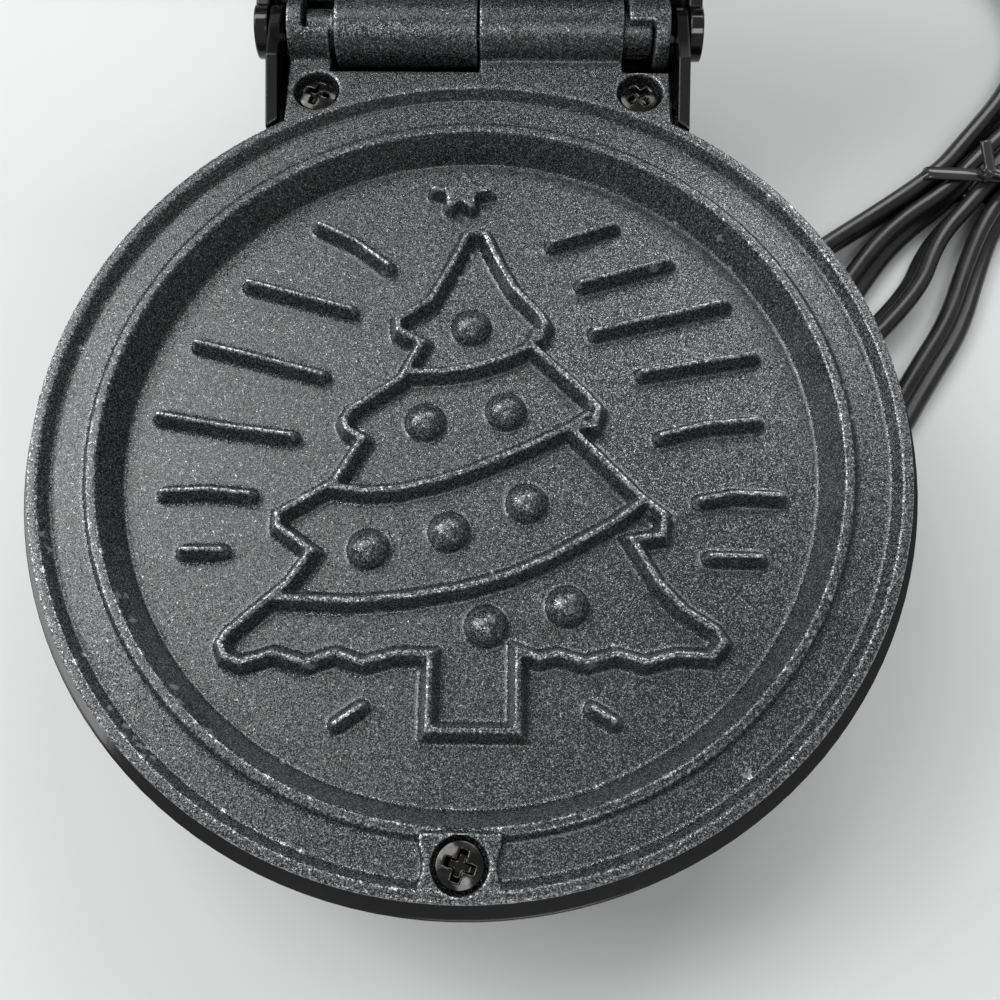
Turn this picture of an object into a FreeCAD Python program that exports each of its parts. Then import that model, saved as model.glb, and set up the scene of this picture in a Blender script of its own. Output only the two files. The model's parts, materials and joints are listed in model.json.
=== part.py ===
import FreeCAD
import Part
import math
import os

# A round mini waffle maker with a fir tree baking plate. The lid leans open on its stop
# and the flat cord lies beside it, tied in a hank. Everything is built about the centre
# of the lower plate, with the plate's lip at height zero, and is moved to its own
# reference point, the middle of its footprint on the table, at the end.
# Lengths are in millimetres, angles in degrees.

V = FreeCAD.Vector

# Heights
LIP_HEIGHT = 34.0
FOOT_HEIGHT = 3.0
LID_CROWN = 36.0
PARTING = 0.4

# Baking plates
PLATE_RADIUS = 63.0
RIM_THICKNESS = 4.5
LIP_WIDTH = 1.5
LIP_SLOPE = 1.1
CHANNEL_WIDTH = 4.8
CHANNEL_DEPTH = 2.1
BEAD_WIDTH = 1.3
BEAD_DROP = 1.0
BEAD_SLOPE = 0.6
RECESS_SLOPE = 2.4
RECESS_DEPTH = 6.6
PLATE_WALL = 2.5
CHANNEL_OUTER = PLATE_RADIUS - LIP_WIDTH - LIP_SLOPE
BEAD_INNER = CHANNEL_OUTER - CHANNEL_WIDTH - BEAD_SLOPE - BEAD_WIDTH
RECESS_RADIUS = BEAD_INNER - RECESS_SLOPE

# Raised figure on the plate
RIDGE_HEIGHT = 2.8
RIDGE_BASE = 2.75
RIDGE_TOP = 0.8
RAY_BASE = 2.5
RAY_TOP = 0.6
ROUND_STEPS = 6
BAUBLE_RADIUS = 3.0
BAUBLE_HEIGHT = 2.7
STAR_DRAFT = 0.6
GRID_HEIGHT = 2.0
GRID_BASE = 3.2
GRID_TOP = 0.9
GRID_PITCH = 14.0
GRID_BARS = 6
SINK = 0.2
CUT_PAST = 0.05

# Hinge
HINGE_REACH = 9.4
HINGE_Y = PLATE_RADIUS + HINGE_REACH
HINGE_Z = PARTING / 2
OPEN_ANGLE = 125.0
BARREL_RADIUS = 5.5
BARREL_START = 0.2
BARREL_END = 23.4
PIN_RADIUS = 3.5
PIN_CLEARANCE = 0.05
PIN_END_GAP = 0.4
FLANGE_HALF = 31.0
EAR_WALL = 2.4
SOCKET_START = 56.0
SOCKET_GAP = 154.0
SOCKET_STEPS = 4
NOTCH_REACH = 7.75
NOTCH_CLEARANCE = 0.9
STOP_GAP = 0.15
TROUGH_CLEARANCE = 0.5
PIN_LENGTH = FLANGE_HALF - EAR_WALL - PIN_END_GAP - BARREL_END
EAR_INNER = BARREL_END + NOTCH_CLEARANCE
NOTCH_Y = HINGE_Y - NOTCH_REACH

# Housings
HOUSING_LAP = 2.0
HOUSING_RADIUS = PLATE_RADIUS + HOUSING_LAP
WALL = 2.2
LEDGE_WIDTH = 5.0
LEDGE_INNER = HOUSING_RADIUS - LEDGE_WIDTH
BASE_BULGE_INSET = 2.6
BASE_BULGE_Z = -20.0
BASE_TAPER = 10.0
BASE_BOTTOM_RADIUS = HOUSING_RADIUS - BASE_TAPER
DISH_CLEARANCE = 0.5
BLOCK_OVERLAP = 17.0
BLOCK_FRONT = BASE_BOTTOM_RADIUS - BLOCK_OVERLAP
CEILING = 4.0
CHEEK_GAP = 1.1
CHEEK_THICKNESS = 1.8
CHEEK_INNER = FLANGE_HALF + CHEEK_GAP
BLOCK_HALF = CHEEK_INNER + CHEEK_THICKNESS
CHEEK_RISE = 4.0
CHEEK_REACH = 24.2
CHEEK_SLOPE = 5.8
CHEEK_TOP = 8.25
LID_SHOULDER_INSET = 18.0
LID_SHOULDER_DROP = 5.0
LID_BULGE_INSET = 3.5
LID_BULGE_DROP = 16.0
LID_BLOCK_REACH = 22.0
LID_CHEEK_THICKNESS = 2.1
LID_CHEEK_INNER = BLOCK_HALF + PARTING
LID_BLOCK_HALF = LID_CHEEK_INNER + LID_CHEEK_THICKNESS
LID_EAR_RADIUS = 4.3

# Fasteners
SCREW_RADIUS = 1.45
SCREW_CLEARANCE = 0.05
SCREW_HEAD_RADIUS = 3.15
SCREW_HEAD_HEIGHT = 1.6
SCREW_HEAD_DOME = 0.5
SCREW_LENGTH = 10.0
SLOT_WIDTH = 1.15
SLOT_LENGTH = 4.6
SLOT_TAPER = 0.9
SLOT_DEPTH = 1.2
SCREW_TURNS = (-18.0, 35.0, -22.0)
COUNTERBORE_RADIUS = 3.7
COUNTERBORE_DEPTH = 1.8
POST_RADIUS = 3.6
REAR_SCREW_EDGE = 4.8
REAR_SCREW_REACH = 11.7
FRONT_SCREW_EDGE = 4.7
REAR_SCREW = (FLANGE_HALF - REAR_SCREW_EDGE, HINGE_Y - REAR_SCREW_REACH)
FRONT_SCREW_Y = FRONT_SCREW_EDGE - PLATE_RADIUS
FRONT_PAD_WIDTH = 10.5
FRONT_PAD_DROP = 0.3
FRONT_PAD_EDGE = 1.0
COVER_SCREW_EDGE = 4.3
COVER_SCREW_REACH = 6.4
POST_SPARE = 0.8
COVER_SCREW_RING = BASE_BOTTOM_RADIUS - WALL - COVER_SCREW_EDGE
COVER_SCREW_REAR = HINGE_Y - COVER_SCREW_REACH

# Bottom cover and feet
COVER_THICKNESS = 2.0
COVER_GAP = 0.4
FOOT_RADIUS = 5.0
FRONT_FOOT_INSET = 23.0
REAR_FOOT_X = 22.0
REAR_FOOT_REACH = 1.6
FRONT_FOOT = (BASE_BOTTOM_RADIUS - FRONT_FOOT_INSET, FRONT_FOOT_INSET - BASE_BOTTOM_RADIUS)
REAR_FOOT = (REAR_FOOT_X, HINGE_Y + REAR_FOOT_REACH)

# Heating parts
HEATER_INSET = 13.3
HEATER_RING = RECESS_RADIUS - HEATER_INSET
HEATER_TUBE = 3.2
HEATER_SWEEP = 300.0
HEATER_GAP = 0.1
HEATER_PIN_RADIUS = 1.5
HEATER_PIN_LENGTH = 9.0
CLAMP_LAP = 6.0
CLAMP_HALF_LENGTH = HEATER_RING + CLAMP_LAP
CLAMP_HALF_WIDTH = 6.0
CLAMP_THICKNESS = 1.0
CLAMP_POST_RADIUS = 5.0
REFLECTOR_INSET = 1.3
REFLECTOR_RADIUS = RECESS_RADIUS - REFLECTOR_INSET
REFLECTOR_SHEET = 0.6
REFLECTOR_TURN_UP = 4.0
REFLECTOR_NOTCH_HALF = 10.0
REFLECTOR_NOTCH_LAP = 4.0
THERMOSTAT_RADIUS = 7.0
THERMOSTAT_Y = 21.0
THERMOSTAT_EAR = 11.0
FUSE_RADIUS = 2.0
FUSE_LENGTH = 14.0
FUSE_Y = -21.0
TERMINAL_SIZE = (24.0, 12.0, 8.0)
TERMINAL_OUTSET = 3.0
TERMINAL_Y = HEATER_RING + TERMINAL_OUTSET
WIRE_RADIUS = 1.1
WIRE_HALF_SPACING = 6.0
WIRE_BEND = 3.0
LID_WIRE_REACH = 16.4
LID_WIRE_REAR = HINGE_Y - LID_WIRE_REACH

# Lid fittings
HANDLE_HALF_WIDTH = 16.0
HANDLE_LENGTH = 21.0
HANDLE_BOTTOM = 8.0
HANDLE_TOP = 18.0
HANDLE_ROUND = 4.0
HANDLE_SCREW_X = 8.0
HANDLE_SEAT_GAP = 0.1
LENS_RADIUS = 3.0
LENS_CAP_RADIUS = 4.2
LENS_CAP_HEIGHT = 1.6
LENS_STEM = 4.6
LAMP_RADIUS = 2.2
LAMP_LENGTH = 9.0

# Cord, strain relief and plug
CORD_WIDTH = 6.4
CORD_THICKNESS = 3.2
CORD_LIFT = 0.6
GLAND_X = 14.0
GLAND_HEIGHT = 9.5
GLAND_NECK = 4.0
GLAND_COLLAR = 4.6
GLAND_END = 3.7
GLAND_FLANGE = 4.4
GLAND_INSIDE = 8.0
TIE_CENTRE = (95.0, 69.0)
TIE_HEADING = 50.0
STRAND_PITCH = 4.1
TIE_RUN = 5.0
TIE_BAND = 0.5
TIE_WIDTH = 3.4
TIE_TAIL = 12.0
TIE_TAIL_WAY = (0.3, -1.0, 0.25)
FOLD_RADIUS = 8.2
STRANDS = 4
ARC_SHARE = 0.45
PLUG_LENGTH = 27.0
PLUG_WIDTH = 21.0
PLUG_HEIGHT = 10.0
PLUG_ROUND = 2.5
PLUG_HEADING = -88.0
BLADE_SPACING = 12.7
BLADE_WIDTH = 6.3
BLADE_THICKNESS = 1.5
BLADE_LENGTH = 17.0

# Heights that follow from the sizes above
TABLE = -LIP_HEIGHT
BASE_BOTTOM = TABLE + FOOT_HEIGHT
FLOOR = -RECESS_DEPTH
UNDER_FLOOR = FLOOR - PLATE_WALL
HEATER_Z = UNDER_FLOOR - HEATER_GAP - HEATER_TUBE
CLAMP_TOP = HEATER_Z - HEATER_TUBE - HEATER_GAP
REFLECTOR_TOP = CLAMP_TOP - CLAMP_THICKNESS
COVER_TOP = BASE_BOTTOM + COVER_THICKNESS
COVER_POST_TOP = COVER_TOP + SCREW_LENGTH + POST_SPARE
STOP_SLOPE = math.tan(math.radians(90.0 - OPEN_ANGLE / 2))

# Fir tree outline, from the top down the right side and back up the left side
TREE = [
    (0.1, 37.1), (1.6, 36.5), (3.7, 31.6), (6.2, 26.9), (10.1, 22.5), (11.0, 20.7), (10.2, 18.4), (8.6, 17.3),
    (16.9, 9.1), (18.9, 6.6), (18.3, 3.9), (14.7, 3.4),
    (24.7, -7.3), (28.1, -10.1), (27.7, -13.0), (23.4, -13.8),
    (26.9, -20.2), (30.4, -24.1), (34.6, -26.8), (35.6, -28.5), (33.8, -30.5), (29.0, -30.3), (24.7, -31.4),
    (20.7, -30.3), (16.5, -31.5), (12.6, -30.4), (10.0, -31.0), (7.2, -30.0), (7.2, -41.0), (-4.9, -41.0),
    (-4.9, -30.6), (-9.6, -30.6), (-14.2, -31.9), (-18.1, -30.6), (-22.1, -32.0), (-26.6, -30.7),
    (-31.0, -32.1), (-33.2, -31.2), (-33.9, -29.4), (-33.0, -27.8), (-25.3, -20.7), (-22.3, -16.0),
    (-27.4, -12.3), (-27.5, -10.4), (-19.6, -5.4), (-16.0, 1.4), (-18.3, 2.9), (-18.9, 4.3), (-18.1, 6.0),
    (-10.6, 11.4), (-7.8, 17.4), (-11.4, 19.4), (-11.6, 21.3), (-6.7, 24.8), (-3.9, 30.4), (-1.3, 36.5),
]
GARLANDS = [
    [(-9.9, 12.3), (-4.6, 12.5), (-0.3, 13.2), (4.2, 14.7), (8.9, 17.0), (9.6, 19.4)],
    [(-20.2, -6.2), (-15.0, -6.8), (-10.3, -6.4), (-5.0, -5.1), (-0.3, -3.5), (8.3, 0.4), (14.9, 3.7),
     (17.3, 5.6)],
    [(-27.2, -22.9), (-16.0, -23.2), (-8.0, -22.4), (-0.3, -21.0), (6.0, -19.1), (11.9, -16.4),
     (21.1, -11.0), (25.0, -7.9)],
]
BAUBLES = [
    (-0.4, 20.8), (-6.9, 4.8), (5.1, 6.7), (8.3, -7.9), (-2.9, -12.4), (-14.4, -15.1), (14.1, -23.3),
    (2.7, -26.3),
]
RAYS = [
    [(-24.8, 38.3), (-19.0, 35.3), (-13.6, 31.0)],
    [(-35.2, 27.7), (-19.0, 23.1)],
    [(-42.1, 17.1), (-32.1, 14.5), (-22.7, 11.9)],
    [(-46.5, 5.0), (-36.0, 3.1), (-26.5, 1.9)],
    [(-44.5, -7.2), (-38.2, -6.8), (-32.0, -7.4)],
    [(-40.8, -16.0), (-35.2, -15.9)],
    [(12.1, 35.3), (21.8, 38.8)],
    [(16.7, 28.1), (30.2, 32.2)],
    [(18.7, 19.7), (38.7, 24.9)],
    [(25.7, 12.8), (42.5, 15.9)],
    [(28.1, 2.4), (34.5, 4.2), (42.3, 5.0)],
    [(33.4, -7.6), (38.6, -6.6), (45.0, -6.9)],
    [(34.5, -16.1), (41.5, -16.2)],
    [(-17.4, -40.2), (-14.1, -37.9)],
    [(17.4, -37.7), (20.3, -39.5)],
]

# Top of the star, clockwise from its upper point
STAR = [
    (-2.6, 48.3), (-1.9, 48.2), (-0.3, 45.6), (2.2, 45.4), (2.4, 44.7), (-0.1, 44.1), (-0.3, 41.9),
    (-0.9, 41.5), (-2.6, 42.7), (-4.1, 41.5), (-4.7, 41.9), (-4.8, 44.3), (-7.2, 44.7), (-7.1, 45.5),
    (-4.4, 45.8),
]

# Route of the lead from the strain relief to the tie, seen from above
LEAD = [
    (14.0, 108.0), (14.3, 119.0), (21.0, 132.0), (34.5, 141.5), (52.0, 145.5), (71.0, 143.5), (88.0, 135.0),
    (100.5, 120.5), (107.0, 103.5), (102.0, 87.5),
]

# Folds of the hank, seen from above: their centres, the ways they point, and the end at the plug
FOLD_CENTRES = [(58.2, 39.7), (121.0, 88.0), (69.0, 19.0)]
FOLD_HEADINGS = [222.0, 38.0, 240.0]
PLUG_END = [(113.5, 72.8), (126.0, 71.0), (134.0, 61.0), (136.0, 48.5)]


# Shape helpers
def box(x0, x1, y0, y1, z0, z1):
    return Part.makeBox(x1 - x0, y1 - y0, z1 - z0, V(x0, y0, z0))


def rod(x, y, z0, z1, radius):
    return Part.makeCylinder(radius, z1 - z0, V(x, y, z0))


def rod_along_x(x0, x1, y, z, radius):
    return Part.makeCylinder(radius, x1 - x0, V(x0, y, z), V(1, 0, 0))


def rod_along_y(x, z, y0, y1, radius):
    return Part.makeCylinder(radius, y1 - y0, V(x, y0, z), V(0, 1, 0))


def fuse(shapes):
    return shapes[0].multiFuse(shapes[1:]).removeSplitter()


def line(a, b):
    return Part.LineSegment(V(*a), V(*b)).toShape()


def arc(a, b, c):
    return Part.Arc(V(*a), V(*b), V(*c)).toShape()


def turned(edges):
    return Part.Face(Part.Wire(edges)).revolve(V(0, 0, 0), V(0, 0, 1), 360)


def turned_polygon(points):
    ring = [V(r, 0, z) for r, z in points]
    return Part.Face(Part.makePolygon(ring + ring[:1])).revolve(V(0, 0, 0), V(0, 0, 1), 360)


def across(points, x0, x1):
    """Prism of a side outline, given as (y, z) points, from x0 to x1."""
    ring = [V(x0, y, z) for y, z in points]
    return Part.Face(Part.makePolygon(ring + ring[:1])).extrude(V(x1 - x0, 0, 0))


def about_hinge(points):
    return [(HINGE_Y + y, HINGE_Z + z) for y, z in points]


def shifted(points, distance, closed):
    """Outline points moved to the left of their way by a distance, with mitred corners."""
    count = len(points)
    moved = []
    for i in range(count):
        before = points[i - 1] if closed or i > 0 else None
        after = points[(i + 1) % count] if closed or i < count - 1 else None
        here = points[i]
        ways = []
        if before:
            ways.append((here[0] - before[0], here[1] - before[1]))
        if after:
            ways.append((after[0] - here[0], after[1] - here[1]))
        sides = [(-dy / math.hypot(dx, dy), dx / math.hypot(dx, dy)) for dx, dy in ways]
        sx = sum(s[0] for s in sides)
        sy = sum(s[1] for s in sides)
        scale = distance * len(sides) / (sx * sx + sy * sy)
        moved.append((here[0] + sx * scale, here[1] + sy * scale))
    return moved


def drafted(low, high, z0, z1):
    """Solid between two outlines whose sides are parallel pair by pair."""
    bottom = [V(x, y, z0) for x, y in low]
    top = [V(x, y, z1) for x, y in high]
    faces = [Part.Face(Part.makePolygon(bottom + bottom[:1])), Part.Face(Part.makePolygon(top + top[:1]))]
    for i in range(len(low)):
        j = (i + 1) % len(low)
        faces.append(Part.Face(Part.makePolygon([bottom[i], bottom[j], top[j], top[i], bottom[i]])))
    solid = Part.Solid(Part.Shell(faces))
    if solid.Volume < 0:
        solid.reverse()
    return solid


def half_width(base, top, height, above_floor):
    return base / 2 - (base - top) / 2 * above_floor / height


def ridge_outline(points, half):
    """Outline of an open ridge with round ends."""
    def rounded(end, inner):
        heading = math.atan2(end[1] - inner[1], end[0] - inner[0])
        turns = [heading + math.pi * (i / ROUND_STEPS - 0.5) for i in range(1, ROUND_STEPS)]
        return [(end[0] + half * math.cos(turn), end[1] + half * math.sin(turn)) for turn in turns]
    right = shifted(points, -half, False)
    left = shifted(points, half, False)
    return right + rounded(points[-1], points[-2]) + left[::-1] + rounded(points[0], points[1])


def open_ridge(points, base, top, height):
    low = half_width(base, top, height, -SINK)
    return drafted(ridge_outline(points, low), ridge_outline(points, top / 2), FLOOR - SINK, FLOOR + height)


def closed_ridge(points, base, top, height):
    low = half_width(base, top, height, -SINK)
    deep = half_width(base, top, height, -SINK - CUT_PAST)
    high = half_width(base, top, height, height + CUT_PAST)
    outer = drafted(shifted(points, low, True), shifted(points, top / 2, True), FLOOR - SINK, FLOOR + height)
    inner = drafted(shifted(points, -deep, True), shifted(points, -high, True),
                    FLOOR - SINK - CUT_PAST, FLOOR + height + CUT_PAST)
    return outer.cut(inner)


def dome_arc(radius, height, base):
    """Side outline of a shallow dome, from its top down to its edge."""
    sphere = (radius ** 2 + height ** 2) / (2 * height)
    half = math.asin(radius / sphere) / 2
    top = base + height
    middle = (sphere * math.sin(half), 0, top - sphere * (1 - math.cos(half)))
    return arc((0, 0, top), middle, (radius, 0, base))


def bauble(x, y):
    crown = (0, 0, FLOOR + BAUBLE_HEIGHT)
    edge = (BAUBLE_RADIUS, 0, FLOOR)
    low_edge = (BAUBLE_RADIUS, 0, FLOOR - SINK)
    low_axis = (0, 0, FLOOR - SINK)
    dome = turned([dome_arc(BAUBLE_RADIUS, BAUBLE_HEIGHT, FLOOR), line(edge, low_edge),
                   line(low_edge, low_axis), line(low_axis, crown)])
    dome.translate(V(x, y, 0))
    return dome


def star():
    return drafted(shifted(STAR, STAR_DRAFT, True), STAR, FLOOR - SINK, FLOOR + RIDGE_HEIGHT)


def fir_tree():
    shapes = [closed_ridge(TREE, RIDGE_BASE, RIDGE_TOP, RIDGE_HEIGHT), star()]
    shapes += [open_ridge(points, RIDGE_BASE, RIDGE_TOP, RIDGE_HEIGHT) for points in GARLANDS]
    shapes += [open_ridge(points, RAY_BASE, RAY_TOP, RIDGE_HEIGHT) for points in RAYS]
    shapes += [bauble(x, y) for x, y in BAUBLES]
    return shapes


def waffle_grid():
    shapes = []
    for i in range(GRID_BARS):
        place = (i - (GRID_BARS - 1) / 2) * GRID_PITCH
        half = math.sqrt(RECESS_RADIUS ** 2 - place ** 2)
        for bar in ([(place, -half), (place, half)], [(-half, place), (half, place)]):
            shapes.append(open_ridge(bar, GRID_BASE, GRID_TOP, GRID_HEIGHT))
    return shapes


# Baking plates
def plate_dish():
    return turned_polygon([
        (0, FLOOR), (RECESS_RADIUS, FLOOR), (BEAD_INNER, -BEAD_DROP), (BEAD_INNER + BEAD_WIDTH, -BEAD_DROP),
        (BEAD_INNER + BEAD_WIDTH + BEAD_SLOPE, -CHANNEL_DEPTH), (CHANNEL_OUTER, -CHANNEL_DEPTH),
        (PLATE_RADIUS - LIP_WIDTH, 0), (PLATE_RADIUS, 0), (PLATE_RADIUS, -RIM_THICKNESS),
        (BEAD_INNER + PLATE_WALL, -RIM_THICKNESS), (RECESS_RADIUS + PLATE_WALL, UNDER_FLOOR),
        (0, UNDER_FLOOR)])


def front_pad():
    half = FRONT_PAD_WIDTH / 2
    front = -PLATE_RADIUS + LIP_WIDTH / 2
    rear = -BEAD_INNER - BEAD_WIDTH / 2
    pad = box(-half, half, front, rear, -RIM_THICKNESS, -FRONT_PAD_DROP)
    side = FRONT_PAD_WIDTH - COUNTERBORE_RADIUS - FRONT_PAD_EDGE
    for sign in (-1, 1):
        pad = pad.cut(rod(sign * FRONT_PAD_WIDTH, FRONT_SCREW_Y, -CHANNEL_DEPTH, 0, side))
    return pad


def hinge_flange():
    """Flat tongue behind the plate with a barrel and pin at the right and a C-shaped ear at the left."""
    tongue = box(-FLANGE_HALF, FLANGE_HALF, PLATE_RADIUS / 2, HINGE_Y, -RIM_THICKNESS, 0)
    tongue = tongue.cut(rod(0, 0, -RIM_THICKNESS, 0, PLATE_RADIUS - LIP_WIDTH / 2))
    tongue = tongue.cut(box(-EAR_INNER, 0, NOTCH_Y, HINGE_Y, -RIM_THICKNESS, 0))
    tongue = tongue.cut(box(EAR_INNER - NOTCH_CLEARANCE, FLANGE_HALF, NOTCH_Y, HINGE_Y, -RIM_THICKNESS, 0))
    barrel = rod_along_x(BARREL_START, BARREL_END, HINGE_Y, HINGE_Z, BARREL_RADIUS)
    tongue = tongue.cut(box(0, BARREL_START, NOTCH_Y, HINGE_Y, -RIM_THICKNESS, 0))
    pin = rod_along_x(BARREL_END, BARREL_END + PIN_LENGTH, HINGE_Y, HINGE_Z, PIN_RADIUS)
    socket_end = -FLANGE_HALF + EAR_WALL
    ear = rod_along_x(-FLANGE_HALF, -EAR_INNER, HINGE_Y, HINGE_Z, BARREL_RADIUS)
    bore = rod_along_x(socket_end, -EAR_INNER, HINGE_Y, HINGE_Z, PIN_RADIUS + PIN_CLEARANCE)
    rays = [(0, 0)]
    for i in range(SOCKET_STEPS + 1):
        angle = math.radians(180 - SOCKET_START - SOCKET_GAP * i / SOCKET_STEPS)
        rays.append((2 * BARREL_RADIUS * math.cos(angle), 2 * BARREL_RADIUS * math.sin(angle)))
    mouth = across(about_hinge(rays), socket_end, -EAR_INNER)
    return fuse([tongue, barrel, pin, ear]).cut(fuse([bore, mouth]))


def screw_places():
    return [(0, FRONT_SCREW_Y), REAR_SCREW, (-REAR_SCREW[0], REAR_SCREW[1])]


def clamp_post():
    post = rod(0, 0, CLAMP_TOP, UNDER_FLOOR, CLAMP_POST_RADIUS)
    return post.cut(rod(0, 0, CLAMP_TOP, UNDER_FLOOR - SCREW_CLEARANCE, SCREW_RADIUS + SCREW_CLEARANCE))


def baking_plate(figure):
    plate = fuse([plate_dish(), hinge_flange(), front_pad(), clamp_post()] + figure)
    for x, y in screw_places():
        plate = plate.cut(rod(x, y, -COUNTERBORE_DEPTH - FRONT_PAD_DROP, PARTING, COUNTERBORE_RADIUS))
        plate = plate.cut(rod(x, y, -RIM_THICKNESS, 0, SCREW_RADIUS + SCREW_CLEARANCE))
    return plate


def cross_slot():
    """Two tapered arms of a screw's cross recess."""
    def arm(half_long):
        half = SLOT_WIDTH / 2
        return [(-half_long, -half), (half_long, -half), (half_long, half), (-half_long, half)]
    floor = SCREW_HEAD_HEIGHT - SLOT_DEPTH
    first = drafted(arm(SLOT_LENGTH / 2 - SLOT_TAPER), arm(SLOT_LENGTH / 2), floor, SCREW_HEAD_HEIGHT)
    second = first.copy()
    second.rotate(V(0, 0, 0), V(0, 0, 1), 90)
    return [first, second]


def screw(length):
    """Cross-slotted screw with a domed head, its seat at height zero and its shank below."""
    side = SCREW_HEAD_HEIGHT - SCREW_HEAD_DOME
    crown = (0, 0, SCREW_HEAD_HEIGHT)
    edge = (SCREW_HEAD_RADIUS, 0, side)
    seat = (SCREW_HEAD_RADIUS, 0, 0)
    axis = (0, 0, 0)
    head = turned([dome_arc(SCREW_HEAD_RADIUS, SCREW_HEAD_DOME, side), line(edge, seat), line(seat, axis),
                   line(axis, crown)])
    return head.fuse(rod(0, 0, -length, 0, SCREW_RADIUS)).cut(Part.makeCompound(cross_slot()))


def plate_screws():
    shapes = []
    for (x, y), turn in zip(screw_places(), SCREW_TURNS):
        piece = screw(SCREW_LENGTH)
        piece.rotate(V(0, 0, 0), V(0, 0, 1), turn)
        piece.translate(V(x, y, -COUNTERBORE_DEPTH - FRONT_PAD_DROP))
        shapes.append(piece)
    return Part.makeCompound(shapes)


# Heating parts, shown for the lower plate and turned over for the upper one
def heater():
    start = 90 + (360 - HEATER_SWEEP) / 2
    ring = Part.Face(Part.Wire(Part.makeCircle(HEATER_TUBE, V(HEATER_RING, 0, HEATER_Z), V(0, 1, 0))))
    ring = ring.revolve(V(0, 0, 0), V(0, 0, 1), HEATER_SWEEP)
    ring.rotate(V(0, 0, 0), V(0, 0, 1), start)
    shapes = [ring]
    for sign in (-1, 1):
        end, way = heater_end(sign)
        shapes.append(Part.makeCylinder(HEATER_PIN_RADIUS, HEATER_PIN_LENGTH, end, way))
    return fuse(shapes)


def heater_end(sign):
    """End of the heater tube on one side of its gap, and the way its pin points."""
    angle = math.radians(90 - sign * (360 - HEATER_SWEEP) / 2)
    end = V(HEATER_RING * math.cos(angle), HEATER_RING * math.sin(angle), HEATER_Z)
    way = V(-sign * math.sin(angle), sign * math.cos(angle), 0)
    return end, way


def heater_clamp():
    strap = box(-CLAMP_HALF_LENGTH, CLAMP_HALF_LENGTH, -CLAMP_HALF_WIDTH, CLAMP_HALF_WIDTH,
                REFLECTOR_TOP, CLAMP_TOP)
    return strap.cut(rod(0, 0, REFLECTOR_TOP, CLAMP_TOP, SCREW_RADIUS + SCREW_CLEARANCE))


def clamp_screw():
    piece = screw(CLAMP_TOP - REFLECTOR_TOP + REFLECTOR_SHEET + (UNDER_FLOOR - CLAMP_TOP) / 2)
    piece.rotate(V(0, 0, 0), V(1, 0, 0), 180)
    piece.translate(V(0, 0, REFLECTOR_TOP - REFLECTOR_SHEET))
    return piece


def reflector():
    low = REFLECTOR_TOP - REFLECTOR_SHEET
    inner = REFLECTOR_RADIUS - REFLECTOR_SHEET
    rim = REFLECTOR_TOP + REFLECTOR_TURN_UP
    dish = turned_polygon([(0, low), (REFLECTOR_RADIUS, low), (REFLECTOR_RADIUS, rim), (inner, rim),
                           (inner, REFLECTOR_TOP), (0, REFLECTOR_TOP)])
    half = REFLECTOR_NOTCH_HALF
    dish = dish.cut(box(-half, half, HEATER_RING - REFLECTOR_NOTCH_LAP, REFLECTOR_RADIUS, low, rim))
    return dish.cut(rod(0, 0, low, REFLECTOR_TOP, SCREW_RADIUS + SCREW_CLEARANCE))


def thermostat():
    body = rod(0, THERMOSTAT_Y, REFLECTOR_TOP + SINK, UNDER_FLOOR, THERMOSTAT_RADIUS)
    ear = box(-THERMOSTAT_EAR, THERMOSTAT_EAR, THERMOSTAT_Y - WALL, THERMOSTAT_Y + WALL,
              UNDER_FLOOR - CLAMP_THICKNESS, UNDER_FLOOR)
    return fuse([body, ear])


def thermal_fuse():
    half = FUSE_LENGTH / 2
    z = UNDER_FLOOR - HEATER_GAP - FUSE_RADIUS
    leads = rod_along_x(-FUSE_LENGTH, FUSE_LENGTH, FUSE_Y, z, FUSE_RADIUS / 4)
    return fuse([rod_along_x(-half, half, FUSE_Y, z, FUSE_RADIUS), leads])


def bent_wire(points, radius, bend):
    """Round wire along three points with one rounded corner."""
    a, b, c = points
    back = (a - b).normalize()
    on = (c - b).normalize()
    half_turn = back.getAngle(on) / 2
    reach = bend / math.tan(half_turn)
    first = b + back * reach
    last = b + on * reach
    inward = (back + on).normalize()
    middle = b + inward * (bend / math.sin(half_turn) - bend)
    path = Part.Wire([Part.LineSegment(a, first).toShape(), Part.Arc(first, middle, last).toShape(),
                      Part.LineSegment(last, c).toShape()])
    return path.makePipeShell([Part.Wire(Part.makeCircle(radius, a, b - a))], True, False)


def wires(lowest, rear):
    """Two wires from the heater pins, down to a height or straight back to a place."""
    shapes = []
    for sign in (-1, 1):
        end, way = heater_end(sign)
        start = end + way * HEATER_PIN_LENGTH
        corner = start + way * ((abs(start.x) - WIRE_HALF_SPACING) / abs(way.x))
        last = V(corner.x, corner.y, lowest) if rear is None else V(corner.x, rear, corner.z)
        shapes.append(bent_wire([start, corner, last], WIRE_RADIUS, WIRE_BEND))
    return Part.makeCompound(shapes)


def terminal_block():
    width, depth, height = TERMINAL_SIZE
    front = TERMINAL_Y - depth / 2
    rear = TERMINAL_Y + depth / 2
    block = box(-width / 2, width / 2, front, rear, COVER_TOP, COVER_TOP + height)
    return block.cut(box(-SLOT_WIDTH, SLOT_WIDTH, front, rear, COVER_TOP + height / 2, COVER_TOP + height))


# Base
def bowl_outer():
    top = (HOUSING_RADIUS, 0, -RIM_THICKNESS)
    middle = (HOUSING_RADIUS - BASE_BULGE_INSET, 0, BASE_BULGE_Z)
    low = (BASE_BOTTOM_RADIUS, 0, BASE_BOTTOM)
    return turned([arc(top, middle, low), line(low, (0, 0, BASE_BOTTOM)),
                   line((0, 0, BASE_BOTTOM), (0, 0, -RIM_THICKNESS)), line((0, 0, -RIM_THICKNESS), top)])


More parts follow.
